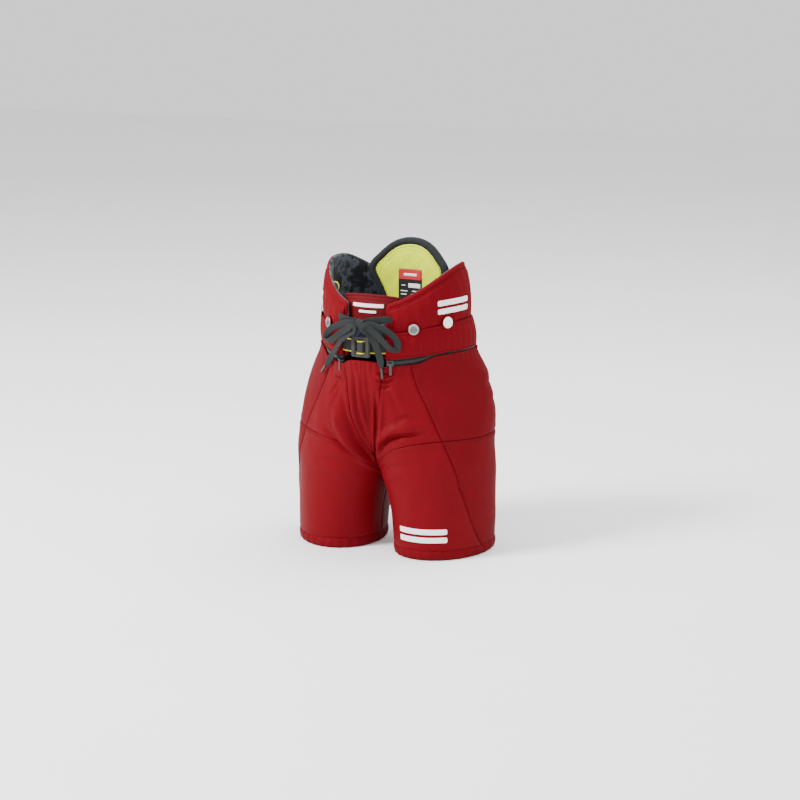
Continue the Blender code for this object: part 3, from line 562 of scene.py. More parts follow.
def cloth(name, colour, roughness, pitch, relief=0.00012, sheen=0.25, mottle=0.10, turn=0.0, gloss=0.12):
    """Woven or knitted fabric: threads at their pitch, with cloudy colour and a worn, dusty unevenness."""
    made = Surface(name, roughness, sheen=sheen, tint=scaled(colour, 1.6), gloss=gloss)
    weave = made.threads(pitch, turn)
    cloud = made.noise(38.0, 4.0)
    fine = made.noise(900.0, 2.0)
    mixed = made.math("ADD", made.math("MULTIPLY", cloud, 0.75), made.math("MULTIPLY", fine, 0.25))
    dull, bright = scaled(colour, 1.0 - mottle), scaled(colour, 1.0 + mottle)
    base = made.ramp(mixed, ((0.30, dull), (0.52, colour), (0.75, bright)))
    # Painted shade: the colour darkens in the hollows between the threads, where the weave is low.
    made.shaded_colour(base, weave, 0.80, 0.55, 0.65)
    made.rough(cloud, roughness - 0.07, roughness + 0.08)
    height = made.math("ADD", weave, made.math("MULTIPLY", fine, 0.5))
    made.bump(height, 0.55, relief)
    return made.material


def camouflage(name):
    """The waist lining: dark grey mesh printed with lighter soft-edged patches."""
    made = Surface(name, 0.78, sheen=0.1, gloss=0.15)
    patches = made.noise(48.0, 3.0, 0.55)
    stops = ((0.0, srgb(30, 31, 34)), (0.42, srgb(44, 46, 52)), (0.49, srgb(78, 82, 92)),
             (0.60, srgb(52, 55, 62)), (0.68, srgb(34, 36, 40)))
    weave = made.threads(0.0011)
    # Painted shade between the mesh's threads, darkening the printed patches where the weave is low.
    made.shaded_colour(made.ramp(patches, stops, constant=True), weave, 0.62, 0.5, 0.8)
    made.bump(weave, 0.6, 0.0002)
    return made.material


def foam_cover(name, colour):
    """Open spacer mesh: rows of small cells over foam."""
    made = Surface(name, 0.70, sheen=0.1, gloss=0.2)
    cells = made.node("ShaderNodeTexVoronoi", {"Vector": made.place, "Scale": 520.0}).outputs["Distance"]
    cloud = made.noise(45.0)
    base = made.ramp(cloud, ((0.3, scaled(colour, 0.90)), (0.7, scaled(colour, 1.04))))
    # Painted shade: the colour darkens in the hollow middle of each cell.
    made.shaded_colour(base, cells, 0.72, 0.30, 0.7)
    made.bump(cells, 0.5, 0.0003)
    return made.material


def plastic(name, colour, roughness, grain=420.0, coat=0.0, gloss=0.25):
    """Moulded plastic with a fine texture and slightly uneven gloss."""
    made = Surface(name, roughness, coat=coat, gloss=gloss)
    grains = made.noise(grain, 3.0)
    cloud = made.noise(60.0)
    made.colour(made.ramp(cloud, ((0.3, scaled(colour, 0.90)), (0.7, scaled(colour, 1.10)))))
    made.rough(grains, roughness - 0.06, roughness + 0.10)
    made.bump(grains, 0.25, 0.00008)
    return made.material


def metal(name, colour, roughness):
    """Plated metal with a faint grain and small rubbed spots."""
    made = Surface(name, roughness, metallic=1.0)
    spots = made.noise(300.0, 4.0)
    made.colour(made.ramp(spots, ((0.35, scaled(colour, 0.82)), (0.65, colour))))
    made.rough(spots, roughness - 0.05, roughness + 0.12)
    made.bump(spots, 0.15, 0.00005)
    return made.material


RED = (0.126, 0.0024, 0.0058)
NYLON = cloth("red_nylon", scaled(RED, 1.02), 0.52, 0.00075, 0.00008, sheen=0.0, mottle=0.06, gloss=0.04)
MATTE = cloth("red_weave", scaled(RED, 0.95), 0.70, 0.0011, 0.00018, 0.02, 0.08, turn=0.4, gloss=0.05)
KNIT = cloth("red_knit", scaled(RED, 1.05), 0.78, 0.0013, 0.00022, 0.05, 0.08, turn=0.8, gloss=0.05)
TONGUE_KNIT = cloth("tongue_knit", scaled(RED, 0.80), 0.78, 0.0013, 0.00022, sheen=0.06, turn=0.8)
THREAD = cloth("red_thread", scaled(RED, 0.75), 0.6, 0.0004, 0.00005, sheen=0.0)
LINING = camouflage("waist_camouflage")
LEG_LINING = cloth("leg_lining", srgb(34, 35, 38), 0.82, 0.0016, 0.0002, sheen=0.2)
BLACK_KNIT = cloth("black_binding", srgb(34, 36, 38), 0.80, 0.0012, 0.00022, sheen=0.35, turn=0.6)
TAPE = cloth("zip_tape_weave", srgb(28, 28, 30), 0.75, 0.0008, 0.00012, sheen=0.15)
WEB = cloth("belt_weave", srgb(44, 44, 46), 0.70, 0.0014, 0.0003, sheen=0.2, turn=0.785)
WEB_EDGE = cloth("belt_edge_weave", srgb(196, 190, 40), 0.70, 0.0014, 0.0002)
CORD = cloth("lace_braid", srgb(38, 40, 40), 0.85, 0.0009, 0.0002, sheen=0.3, turn=0.5)
PAD_FACE = foam_cover("pad_mesh", (0.60, 0.70, 0.002))
INNER_FOAM = foam_cover("inner_foam", srgb(205, 200, 80))
YELLOW = cloth("yellow_tape", srgb(206, 202, 58), 0.7, 0.0008)
GUARD = plastic("guard_plastic", srgb(60, 62, 64), 0.45)
BUCKLE = plastic("buckle_plastic", srgb(38, 38, 36), 0.50)
WHITE_SNAP = plastic("white_enamel", srgb(246, 247, 248), 0.30, coat=0.3)
WHITE = cloth("white_print", srgb(240, 240, 240), 0.6, 0.0009, 0.00006, sheen=0.0, mottle=0.03)
STEEL = metal("snap_steel", srgb(150, 152, 152), 0.28)
SNAP_DISH = metal("snap_dish", srgb(104, 106, 106), 0.34)
DARK_STEEL = metal("dark_steel", srgb(74, 74, 76), 0.36)
AGLET = plastic("aglet_plastic", srgb(38, 40, 40), 0.30, coat=0.3)
LABEL_RED = plastic("label_red", srgb(176, 40, 44), 0.5)
LABEL_BLACK = plastic("label_black", srgb(30, 30, 32), 0.5)
LABEL_WHITE = plastic("label_white", srgb(226, 226, 224), 0.5)


# ---- Relief of the shell: seams, filling and folds ----

def arc_length(z):
    """Length along the section that one unit of t covers."""
    opening, radius = leg_opening(z)
    return 2.0 * opening * radius


def seam_distances(t, z):
    """Signed distances to each seam of the shell, in metres."""
    arc = arc_length(z)
    step = 0.002
    _, radius = leg_opening(z)
    diagonal_slope = (diagonal_angle(z + step) - diagonal_angle(z - step)) / (2 * step) * radius
    fly_slope = (fly_edge(z + step) - fly_edge(z - step)) / (2 * step) * arc
    cross_slope = (cross_seam(t + step) - cross_seam(t - step)) / (2 * step) / arc
    fly = np.where(z > FLY_BASE_Z - 0.002, (t - fly_edge(z)) * arc / np.hypot(1.0, fly_slope), 1.0)
    middle = np.where(z < FLY_BASE_Z, t * arc, 1.0)
    return [
        (t - diagonal_seam(z)) * arc / np.hypot(1.0, diagonal_slope),
        (z - cross_seam(t)) / np.hypot(1.0, cross_slope),
        (t - back_seam(z)) * arc,
        fly, middle, (1.0 - t) * arc,
        z - HEM_HEIGHT,
    ]


def ridge(t, z, line, width):
    """1 along a line of (t, z) places, fading over width to its sides and towards both its ends."""
    arc = arc_length(z)
    best = np.full(np.shape(t * z), 1.0)
    share = np.zeros_like(best)
    for i, ((t0, z0), (t1, z1)) in enumerate(zip(line, line[1:])):
        du, dz = (t1 - t0) * arc, z1 - z0
        k = np.clip((((t - t0) * arc) * du + (z - z0) * dz) / (du * du + dz * dz), 0.0, 1.0)
        distance = np.hypot((t - t0) * arc - k * du, z - z0 - k * dz)
        nearer = distance < best
        best = np.where(nearer, distance, best)
        share = np.where(nearer, (i + k) / (len(line) - 1), share)
    return np.sin(math.pi * share) ** 0.7 * np.exp(-((best / width) ** 2))


# Each fold: height in metres, width, and its line of (t, z) places
FOLDS_BOTH = (
    (-0.0014, 0.0040, ((0.020, 0.112), (0.070, 0.124), (0.150, 0.132), (0.230, 0.134))),
    (0.0012, 0.0070, ((0.020, 0.100), (0.090, 0.110), (0.170, 0.118), (0.250, 0.116))),
    (-0.0012, 0.0050, ((0.100, 0.258), (0.150, 0.236), (0.180, 0.205))),
    (0.0012, 0.0070, ((0.130, 0.262), (0.175, 0.236), (0.205, 0.205))),
    (-0.0010, 0.0045, ((0.560, 0.262), (0.610, 0.256), (0.680, 0.260))),
    (0.0010, 0.0050, ((0.550, 0.250), (0.620, 0.245), (0.700, 0.250))),
    (-0.0011, 0.0045, ((0.560, 0.238), (0.620, 0.233), (0.720, 0.240))),
    (0.0010, 0.0055, ((0.570, 0.226), (0.630, 0.221), (0.720, 0.227))),
    (-0.0010, 0.0045, ((0.560, 0.212), (0.620, 0.208), (0.700, 0.214))),
    (-0.0020, 0.0050, ((0.720, 0.150), (0.820, 0.132), (0.920, 0.124), (0.990, 0.120))),
    (0.0018, 0.0080, ((0.700, 0.166), (0.820, 0.150), (0.920, 0.142), (0.990, 0.140))),
    (-0.0016, 0.0050, ((0.985, 0.130), (0.940, 0.170), (0.880, 0.200), (0.800, 0.215))),
    (-0.0013, 0.0060, ((0.985, 0.190), (0.920, 0.222), (0.840, 0.240))),
)
FOLDS_LEFT = (
    (-0.0064, 0.0030, ((0.040, 0.140), (0.075, 0.160), (0.120, 0.172), (0.180, 0.177), (0.280, 0.180))),
    (0.0060, 0.0065, ((0.050, 0.158), (0.090, 0.174), (0.140, 0.184), (0.230, 0.188))),
    (-0.0029, 0.0040, ((0.150, 0.196), (0.200, 0.202), (0.260, 0.198))),
    (-0.0042, 0.0022, ((0.085, 0.262), (0.125, 0.2585), (0.170, 0.262))),
    (-0.0039, 0.0022, ((0.080, 0.252), (0.120, 0.2490), (0.175, 0.2535))),
    (0.0031, 0.0030, ((0.080, 0.257), (0.120, 0.2535), (0.170, 0.2575))),
    (-0.0035, 0.0025, ((0.090, 0.242), (0.125, 0.2410), (0.160, 0.2450))),
    (-0.0066, 0.0042, ((0.075, 0.238), (0.062, 0.210), (0.046, 0.180), (0.020, 0.150), (0.004, 0.118))),
    (0.0049, 0.0060, ((0.100, 0.232), (0.088, 0.205), (0.070, 0.178), (0.042, 0.148), (0.020, 0.120))),
    (-0.0039, 0.0045, ((0.030, 0.266), (0.028, 0.225), (0.016, 0.185), (0.004, 0.150))),
)
FOLDS_RIGHT = (
    (-0.0046, 0.0025, ((0.140, 0.252), (0.165, 0.2465), (0.190, 0.250))),
    (-0.0031, 0.0035, ((0.150, 0.246), (0.180, 0.236), (0.205, 0.222))),
    (-0.0060, 0.0045, ((0.130, 0.228), (0.100, 0.196), (0.066, 0.166), (0.030, 0.142), (0.006, 0.120))),
    (0.0053, 0.0065, ((0.160, 0.214), (0.130, 0.182), (0.090, 0.156), (0.050, 0.136), (0.018, 0.114))),
    (-0.0042, 0.0040, ((0.200, 0.180), (0.150, 0.160), (0.090, 0.142), (0.030, 0.126))),
    (-0.0046, 0.0050, ((0.055, 0.266), (0.048, 0.228), (0.032, 0.190), (0.008, 0.152))),
    (0.0031, 0.0060, ((0.028, 0.262), (0.024, 0.225), (0.014, 0.185))),
)


def shell_relief(side, t, z):
    """How far the fabric stands out from the smooth surface."""
    distances = seam_distances(t, z)
    nearest = np.min(np.abs(np.stack(np.broadcast_arrays(*distances))), axis=0)
    relief = 0.0014 * (1.0 - np.exp(-nearest / 0.018))
    for distance in distances:
        relief = relief - 0.0009 * np.exp(-((distance / 0.0009) ** 2))
        relief = relief + 0.0004 * np.exp(-(((np.abs(distance) - 0.0050) / 0.0030) ** 2))
    for height, width, line in (*FOLDS_BOTH, *(FOLDS_LEFT if side == LEFT else FOLDS_RIGHT)):
        relief = relief + height * ridge(t, z, line, width)
    u = t * arc_length(z)
    phase = 0.0 if side == LEFT else 1.7
    soft = np.sin(42.0 * u + 31.0 * z + phase) * np.sin(57.0 * z - 23.0 * u + 0.6 + phase)
    fine = np.sin(150.0 * u + 60.0 * z + 2.1 * phase) * np.sin(110.0 * z - 70.0 * u + phase)
    above = smooth_step(0.10, 0.18, z)
    relief = relief + soft * (0.0005 + 0.0006 * above) + fine * 0.00022 * (0.4 + above)
    gather = np.exp(-np.abs(shell_top(t) - z) / 0.011)
    gather = gather * np.sin(2 * math.pi * u / 0.0125 + 2.0 * np.sin(40.0 * u))
    return relief + 0.0006 * gather


def shell_surface(side, t, z, depth=0.0):
    return shell_points(side, t, z, depth - shell_relief(side, t, z))


def shell_panel(label, side, part, seams, heights, columns, rows, surface, slot):
    """A fabric panel between two seams (functions of z) and two heights (functions of t)."""
    u = edge_dense(columns)[None, :]
    v = edge_dense(rows)[:, None]

    def across(z):
        return seams[0](z) + (seams[1](z) - seams[0](z)) * u

    bottom = heights[0](across(heights[0](0.4)))
    top = heights[1](across(heights[1](0.4)))
    z = bottom + (top - bottom) * v
    points = shell_surface(side, across(z), z)
    name = f"{part}_{label}"
    add_sheet(f"{name}_cloth", points, side, "shell", slot, surface, CLOTH_THICKNESS, (name,))


def shell_half(label, side):
    front = (fly_edge, diagonal_seam)
    flank = (diagonal_seam, back_seam)
    back = (back_seam, lambda z: 1.0 + 0.0 * z)
    upper = (cross_seam, shell_top)
    lower = (lambda t: HEM_HEIGHT + 0.0 * t, cross_seam)
    shell_panel(label, side, "front_upper_panel", front, upper, 70, 70, NYLON, "shell_nylon")
    shell_panel(label, side, "front_lower_panel", front, lower, 80, 76, NYLON, "shell_nylon")
    shell_panel(label, side, "side_upper_panel", flank, upper, 76, 66, MATTE, "side_weave")
    shell_panel(label, side, "side_lower_panel", flank, lower, 56, 76, MATTE, "side_weave")
    shell_panel(label, side, "seat_panel", back, upper, 70, 66, MATTE, "side_weave")
    shell_panel(label, side, "back_lower_panel", back, lower, 76, 76, NYLON, "shell_nylon")
    hem_and_lining(label, side)
    shell_stitching(label, side)


def fly_panel():
    """The centre front panel, narrowing to a point above the crotch."""
    u = np.linspace(-1.0, 1.0, 45)[None, :]
    v = edge_dense(70)[:, None]
    low, high = FLY_BASE_Z, shell_top(0.0) + FLY_RISE * (1.0 - u**4)
    z = low + (high - low) * v
    t = np.abs(u) * fly_edge(z)
    left, right = shell_surface(LEFT, t, z), shell_surface(RIGHT, t, z)
    points = np.where((u >= 0.0)[..., None], left, right)
    middle = np.abs(u)[..., None] < 0.01
    points = np.where(middle, 0.5 * (left + right), points)
    add_sheet("fly_cloth", points, LEFT, "shell", "shell_nylon", NYLON, CLOTH_THICKNESS, ("fly_panel",))


# The hem's section, as (depth, height) from the outside round its underside to the lining
HEM_SECTION = (
    (0.0006, 0.0138), (-0.0004, 0.0118), (-0.0009, 0.0085), (-0.0008, 0.0045), (-0.0002, 0.0016),
    (0.0010, 0.0002), (0.0045, 0.0000), (0.0090, 0.0002), (0.0130, 0.0018), (0.0148, 0.0050),
    (0.0152, 0.0100), (0.0150, 0.0150),
)


def hem_and_lining(label, side):
    """The turned hem, and the leg's lining up to the waist."""
    t = np.linspace(0.0, 1.0, 181)[:-1]
    section = smooth_route([(a, b, 0.0) for a, b in HEM_SECTION], 3)
    ripple = 0.0004 * np.sin(60 * math.pi * t)
    rows = [shell_points(side, t, np.full_like(t, point.y), point.x - ripple * (point.x < 0.002))
            for point in section]
    mesh = grid_mesh(f"hem_{label}", np.stack(rows), side, loop_columns=True)
    mesh.flip_normals()
    add_object(f"hem_{label}_cloth", mesh, "shell", "side_weave", MATTE, replaces=(f"hem_band_{label}",))
    u = np.linspace(0.0, 1.0, 161)[None, :]
    z = np.linspace(0.0125, 0.2640, 110)[:, None]
    channel = np.exp(-((np.mod(u * 14.0 + 0.5, 1.0) - 0.5) / 0.05) ** 2)
    depth = LINER_DEPTH + 0.0006 - 0.0012 * channel - 0.0070 * smooth_step(0.245, 0.264, z) + 0.0 * u
    depth = depth + 0.0008 * np.sin(50 * z + 14 * u) * np.sin(33 * u)
    points = shell_points(side, u, z, depth)
    add_sheet(f"leg_lining_{label}", points, side, "shell", "lining", LEG_LINING, 0.0008,
              (f"leg_liner_{label}",))


def shell_line(side, t, z, lift=0.0):
    """A line on the shell with its outward normals."""
    points = shell_surface(side, t, z, -lift)
    step_t, step_z = 0.002, 0.0015
    along = shell_points(side, t + step_t, z) - shell_points(side, t - step_t, z)
    up = shell_points(side, t, z + step_z) - shell_points(side, t, z - step_z)
    normals = np.cross(along, up) * side
    return points, normals / np.linalg.norm(normals, axis=1, keepdims=True)


def shell_stitching(label, side):
    """Thread beside the seams: a double row on the diagonal and the cross seam, single rows elsewhere."""
    lines = []
    z = np.linspace(HEM_HEIGHT + 0.002, 0.268, 200)
    for offset in (0.0026, 0.0052):
        lines.append(shell_line(side, diagonal_seam(z) + offset / arc_length(z) * 1.05, z))
    t = np.linspace(0.006, 0.994, 360)
    for offset in (0.0026, 0.0052):
        lines.append(shell_line(side, t, cross_seam(t) - offset))
    lines.append(shell_line(side, back_seam(z) + 0.0028 / arc_length(z), z))
    z = np.linspace(FLY_BASE_Z + 0.004, 0.268, 120)
    lines.append(shell_line(side, fly_edge(z) + 0.0028 / arc_length(z), z))
    t = np.linspace(0.0, 1.0, 400)
    for height in (HEM_HEIGHT - 0.0028, 0.0030):
        lines.append(shell_line(side, t, np.full_like(t, height), -0.0004))
    t = np.linspace(WING_FRONT_T, 0.995, 300)
    lines.append(shell_line(side, t, shell_top(t) - 0.0030))
    stitch_rows(f"shell_stitches_{label}", lines, "shell", "shell_nylon", THREAD)


# ---- Waist ----

def back_seam_groove(t):
    """1 in the seam at the centre back of the waist, falling off within 2 mm."""
    return np.exp(-(((1.0 - t) / 0.0045) ** 2))


def wing_relief(side, t, h):
    """Filling of the padded wing between its seams, with soft vertical creases."""
    top = wing_height(t) - 0.0075
    low = tunnel_height(t)
    share = np.clip((h - low) / (top - low), 0.0, 1.0)
    pillow = 0.0034 * np.sin(math.pi * share) ** 0.6
    ends = smooth_step(WING_FRONT_T, WING_FRONT_T + 0.05, t) * (1.0 - smooth_step(0.965, 1.0, t))
    phase = 0.3 if side == LEFT else 2.0
    turn = 2 * math.pi * t
    creases = np.sin(turn / 0.083 + 22.0 * h + phase) * np.sin(turn / 0.19 + phase + 40.0 * h)
    fine = np.sin(2 * math.pi * t / 0.021 + 3.0 * np.sin(31.0 * t)) * np.exp(-(wing_height(t) - h) / 0.010)
    groove = -0.0008 * np.exp(-((h - top) / 0.0012) ** 2) - 0.0011 * back_seam_groove(t)
    return 0.0011 + pillow * (0.35 + 0.65 * ends) + 0.0006 * creases * ends + 0.00025 * fine + groove


def wing_line(side, t, h, depth, relief=None):
    points = girdle_points(side, t, h, depth - (relief(side, t, h) if relief else 0.0))
    along = girdle_points(side, t + 0.003, h) - girdle_points(side, t - 0.003, h)
    up = girdle_points(side, t, h + 0.002) - girdle_points(side, t, h - 0.002)
    normals = np.cross(along, up) * side
    return points, normals / np.linalg.norm(normals, axis=1, keepdims=True)


def tunnel_relief(side, t, h):
    high = tunnel_height(t)
    share = np.clip(h / high, 0.0, 1.0)
    phase = 0.0 if side == LEFT else 1.1
    ripples = np.sin(2 * math.pi * t / 0.034 + 2.2 * np.sin(17.0 * t + phase) + 12.0 * h)
    body = np.sin(math.pi * share) ** 0.5
    seams = np.exp(-((h - 0.0042) / 0.0009) ** 2) + np.exp(-((high - h - 0.0042) / 0.0009) ** 2)
    return 0.0014 * body + 0.00035 * ripples * body - 0.0007 * seams - 0.0012 * back_seam_groove(t)


def waist_half(label, side):
    t = WING_FRONT_T + (WING_BACK_T - WING_FRONT_T) * np.linspace(0.0, 1.0, 260)[None, :]
    v = edge_dense(52)[:, None]
    low, high = tunnel_height(t) - 0.004, wing_height(t) - 0.0020
    h = low + (high - low) * v
    tuck = 0.0042 * np.clip((h - wing_height(t) + 0.0070) / 0.0050, 0.0, 1.0) ** 1.5
    points = girdle_points(side, t, h, WING_DEPTH + tuck - wing_relief(side, t, h))
    made = add_sheet(f"wing_{label}_cloth", points, side, "girdle", "waist_knit", KNIT, 0.0006,
                     (f"waist_wing_{label}",))
    v = edge_dense(30)[:, None]
    h = tunnel_height(t) * v
    edge = 0.0010 * (1.0 - np.clip(np.minimum(v, 1.0 - v) / 0.05, 0.0, 1.0))
    points = girdle_points(side, t, h, edge - tunnel_relief(side, t, h))
    add_sheet(f"tunnel_{label}_cloth", points, side, "girdle", "waist_knit", KNIT, CLOTH_THICKNESS,
              (f"belt_tunnel_{label}",))
    v = edge_dense(50)[:, None]
    h = (wing_height(t) - 0.0030) * v
    upright = np.exp(-((np.mod(t * 11.0, 1.0) - 0.5) / 0.045) ** 2)
    level = np.exp(-((h - 0.55 * wing_height(t)) / 0.002) ** 2)
    inward = 0.0022 * np.sin(math.pi * np.clip(v, 0, 1)) ** 0.5 - 0.0014 * np.minimum(upright + level, 1.0)
    points = girdle_points(side, t, h, WAIST_LINER_DEPTH + inward)
    mesh = grid_mesh(f"waist_lining_{label}", points, -side)
    add_object(f"waist_lining_{label}", mesh, "girdle", "lining", LINING, replaces=(f"waist_liner_{label}",))
    rolled_edge(label, side)
    waist_stitching(label, side)


def rolled_edge(label, side):
    """The rolled edge over the wing's top and down its front."""
    depth = 0.5 * (WING_DEPTH + WAIST_LINER_DEPTH)
    t = np.linspace(WING_BACK_T, WING_FRONT_T + 0.012, 150)
    top = girdle_points(side, t, wing_height(t) - 0.0022, depth)
    corner = wing_height(WING_FRONT_T)
    h = np.linspace(corner - 0.0065, 0.0015, 46)
    down = girdle_points(side, np.full_like(h, WING_FRONT_T + 0.003), h, depth)
    bend = girdle_points(side, np.array([WING_FRONT_T + 0.0045]), np.array([corner - 0.0036]), depth)
    route = [Vector(p) for p in (*top, *bend, *down)]
    centre = Vector((0.0, Y_SHIFT, 0.0))

    def facing(i):
        out = route[i] - centre
        out.z = 0.0
        return out

    def section(i):
        return 1.0 + 0.03 * math.sin(i * 1.9), round_section(0.0042, 16, 0.92)

    mesh = sweep(f"wing_roll_{label}", route, section, facing)
    for face in mesh.polygons:
        middle = face.center - centre
        nearest = min(route, key=lambda p: (p - face.center).length_squared) - centre
        inside = middle.xy.length < nearest.xy.length - 0.0004
        face.material_index = int(inside)
    add_object(f"wing_roll_{label}", mesh, "girdle", "waist_knit", KNIT, LINING,
               replaces=(f"wing_binding_{label}",))


def waist_stitching(label, side):
    t = np.linspace(WING_FRONT_T + 0.012, 0.99, 300)
    lines = [
        wing_line(side, t, tunnel_height(t) - 0.0026, 0.0, tunnel_relief),
        wing_line(side, t, 0.0026 + 0.0 * t, 0.0, tunnel_relief),
        wing_line(side, t, wing_height(t) - 0.0102, WING_DEPTH, wing_relief),
    ]
    for offset in (0.010, 0.018):
        h = np.linspace(0.003, wing_height(WING_FRONT_T) - 0.012, 90)
        relief = np.where(h < tunnel_height(WING_FRONT_T), tunnel_relief(side, WING_FRONT_T + offset, h),
                          wing_relief(side, WING_FRONT_T + offset, h) - WING_DEPTH)
        points = girdle_points(side, WING_FRONT_T + offset, h, -relief)
        _, normals = wing_line(side, np.full_like(h, WING_FRONT_T + offset), h, 0.0)
        lines.append((points, normals))
    stitch_rows(f"waist_stitches_{label}", lines, "girdle", "waist_knit", THREAD)


def gusset():
    """The folded fabric behind the zip, a fixed sheet on no body; on the real pants it opens out as the
    waist is let up.
    """
    u = np.linspace(-1.0, 1.0, 361)[None, :]
    v = np.linspace(0.0, 1.0, 15)[:, None]
    t = 1.0 - (1.0 - WING_FRONT_T) * np.abs(u)
    high = girdle_base(t) - 0.0004
    z = GUSSET_BASE_Z - 0.001 + (high - GUSSET_BASE_Z + 0.001) * v
    depth = GUSSET_DEPTH + 0.0008 * np.sin(3 * math.pi * v) + 0.0003 * np.sin(90.0 * u)
    left, right = shell_points(LEFT, t, z, depth), shell_points(RIGHT, t, z, depth)
    points = np.where((u >= 0.0)[..., None], left, right)
    mesh = grid_mesh("gusset", points)
    mesh.flip_normals()
    made = add_object("waist_gusset_cloth", mesh, None, "lining", LEG_LINING, replaces=("waist_gusset",))
    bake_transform(made)


def zip_half(label, side):
    """Both tapes and the coil's teeth."""
    t = WING_FRONT_T + (WING_BACK_T - WING_FRONT_T) * np.linspace(0.0, 1.0, 300)[None, :]
    middle = zip_line(t)
    for part, body, low, high in (
        ("zip_tape_lower", "shell", middle - ZIP_TAPE_DROP, middle - 0.0012),
        ("zip_tape_upper", "girdle", middle + 0.0012, 0.0046 + 0.0 * t),
    ):
        v = np.linspace(0.0, 1.0, 9)[:, None]
        depth = ZIP_TAPE_DEPTH + 0.00030 + 0.00008 * np.sin(8 * math.pi * v)
        points = girdle_points(side, t, low + (high - low) * v, depth)
        name = f"{part}_{label}"
        add_sheet(f"{name}_weave", points, side, body, "zip_tape", TAPE, 0.0006, (name,))
        teeth = bmesh.new()
        steps = np.arange(WING_FRONT_T + 0.004, WING_BACK_T - 0.004, 0.0052)
        for step in steps:
            above = part == "zip_tape_upper"
            shift = 0.0026 if above else 0.0
            height = float(zip_line(step)) + (0.0010 if above else -0.0010)
            place = surface_frame(lambda a, b: girdle_points(side, a, b, ZIP_TAPE_DEPTH - 0.0004),
                                  step + shift, height)
            size = Matrix.Diagonal((0.00075, 0.0011, 0.0021, 1.0))
            bmesh.ops.create_cube(teeth, size=1.0, matrix=place @ size)
        mesh = bpy.data.meshes.new(f"{part}_teeth_{label}")
        teeth.to_mesh(mesh)
        teeth.free()
        add_object(f"{part}_teeth_{label}", mesh, body, "zip_tape", AGLET, smooth=False)


# ---- Belt, buckle, snaps and eyelets ----

def belt_route():
    """The belt's middle line from the back of one tunnel over the buckle's bar to the back of the other."""
    h = BELT_LOW_H + BELT_WIDTH / 2
    xs = np.linspace(0.0, 0.030, 61)
    rise = 0.0034 + 0.0030 + 0.0012 + 0.0006
    front = []
    for x in xs:
        share = girdle_share(x, h, WEBBING_DEPTH)
        y = girdle_points(LEFT, share, h, WEBBING_DEPTH)[1] - rise * smooth_step(0.0068, 0.0032, x)
        front.append((x, y, GIRDLE_FRONT_Z + h))
    start = girdle_share(0.030, h, WEBBING_DEPTH)
    t = np.linspace(start, 0.90, 150)[1:]
    flank = girdle_points(LEFT, t, h, WEBBING_DEPTH)
    left = [Vector(p) for p in (*front, *flank)]
    right = [Vector((-p.x, p.y, p.z)) for p in left[:0:-1]]
    return [*right, *left]


def belt():
    route = [p + Vector((0.0, 0.0006, 0.0)) for p in belt_route()]
    across = np.linspace(-0.5, 0.5, 25)
    ribs = 0.00010 * np.cos(across * 2 * math.pi * 8)
    thick = 0.00055
    outer = [(a * BELT_WIDTH, thick + r) for a, r in zip(across, ribs)]
    inner = [(a * BELT_WIDTH, -thick) for a in across[::-1]]
    section = outer + inner
    centre = Vector((0.0, Y_SHIFT, 0.0))

    def facing(i):
        out = route[i] - centre
        out.z = 0.0
        return out if abs(route[i].x) > 0.02 else Vector((0.0, -1.0, 0.0))

    mesh = sweep("belt", route, section, facing)
    made = add_object("belt_strip", mesh, "girdle", "webbing", WEB, WEB_EDGE, replaces=("belt_webbing",))
    ring = len(section)
    edges = {0, 1, 22, 23, 24, 25, 26, 47, 48, 49}
    for index, face in enumerate(mesh.polygons):
        if index < (len(route) - 1) * ring and index % ring in edges:
            face.material_index = 1
    return made


def buckle():
    low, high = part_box("buckle_frame")
    centre = (low + high) / 2
    place = Matrix.Translation(centre)
    windows = [rounded(0.0060, 0.0188, 0.0008, (end * 0.00495, 0.0)) for end in (-1, 1)]
    plate("buckle_plate", rounded(0.0270, 0.0272, 0.0022), windows, place, 0.0026, 0.0005, "buckle",
          "buckle_plastic", BUCKLE, replaces=("buckle_frame",))
    front = centre.y - 0.0014
    for name, x, width, length in (("bar", 0.0, 0.0030, 0.0200), ("left_rail", 0.0107, 0.0034, 0.0236),
                                   ("right_rail", -0.0107, 0.0034, 0.0236)):
        rail = Matrix.Translation((x, front, centre.z))
        plate(f"buckle_{name}", rounded(width, length, 0.0011), (), rail, 0.0012, 0.0004, "buckle",
              "buckle_plastic", BUCKLE)
    for k in range(-4, 5):
        notch = Matrix.Translation((0.0, front - 0.0004, centre.z + k * 0.0020))
        plate(f"buckle_grip_{k + 4}", rounded(0.0028, 0.0008, 0.0003), (), notch, 0.0008, 0.0002, "buckle",
              "buckle_plastic", BUCKLE)


def snap(name, side, t, white):
    outline = [(0.0, 0.0009), (0.0030, 0.0008), (0.0047, 0.0011), (0.0056, 0.0018), (0.0061, 0.0021),
               (0.0068, 0.0020), (0.0074, 0.0016), (SNAP_RADIUS, 0.0009), (0.0074, 0.0002),
               (0.0012, 0.0), (0.0012, -0.0030), (0.0, -0.0030)]
    if white:
        outline[:5] = [(0.0, 0.0024), (0.0030, 0.0023), (0.0050, 0.0021), (0.0060, 0.0019), (0.0064, 0.0018)]
    h = float(tunnel_height(t)) + 0.0020
    place = surface_frame(lambda a, b: girdle_points(side, a, b, -0.0012), t, h)
    mesh = turned(f"{name}_cap", outline, 48, place)
    for face in mesh.polygons:
        seen = place.inverted() @ face.center
        face.material_index = int(math.hypot(seen.x, seen.z) < 0.0050 and not white)
    add_object(f"{name}_cap", mesh, "girdle", "snap_white" if white else "snap_steel",
               WHITE_SNAP if white else STEEL, SNAP_DISH, replaces=(name,))
    ring = [(0.0082 + 0.0006 * math.cos(k * math.pi / 4), 0.0002 + 0.0005 * math.sin(k * math.pi / 4))
            for k in range(8)]
    mesh = turned(f"{name}_seat", ring, 48, place, closed=True)
    add_object(f"{name}_seat", mesh, "girdle", "waist_knit", KNIT)


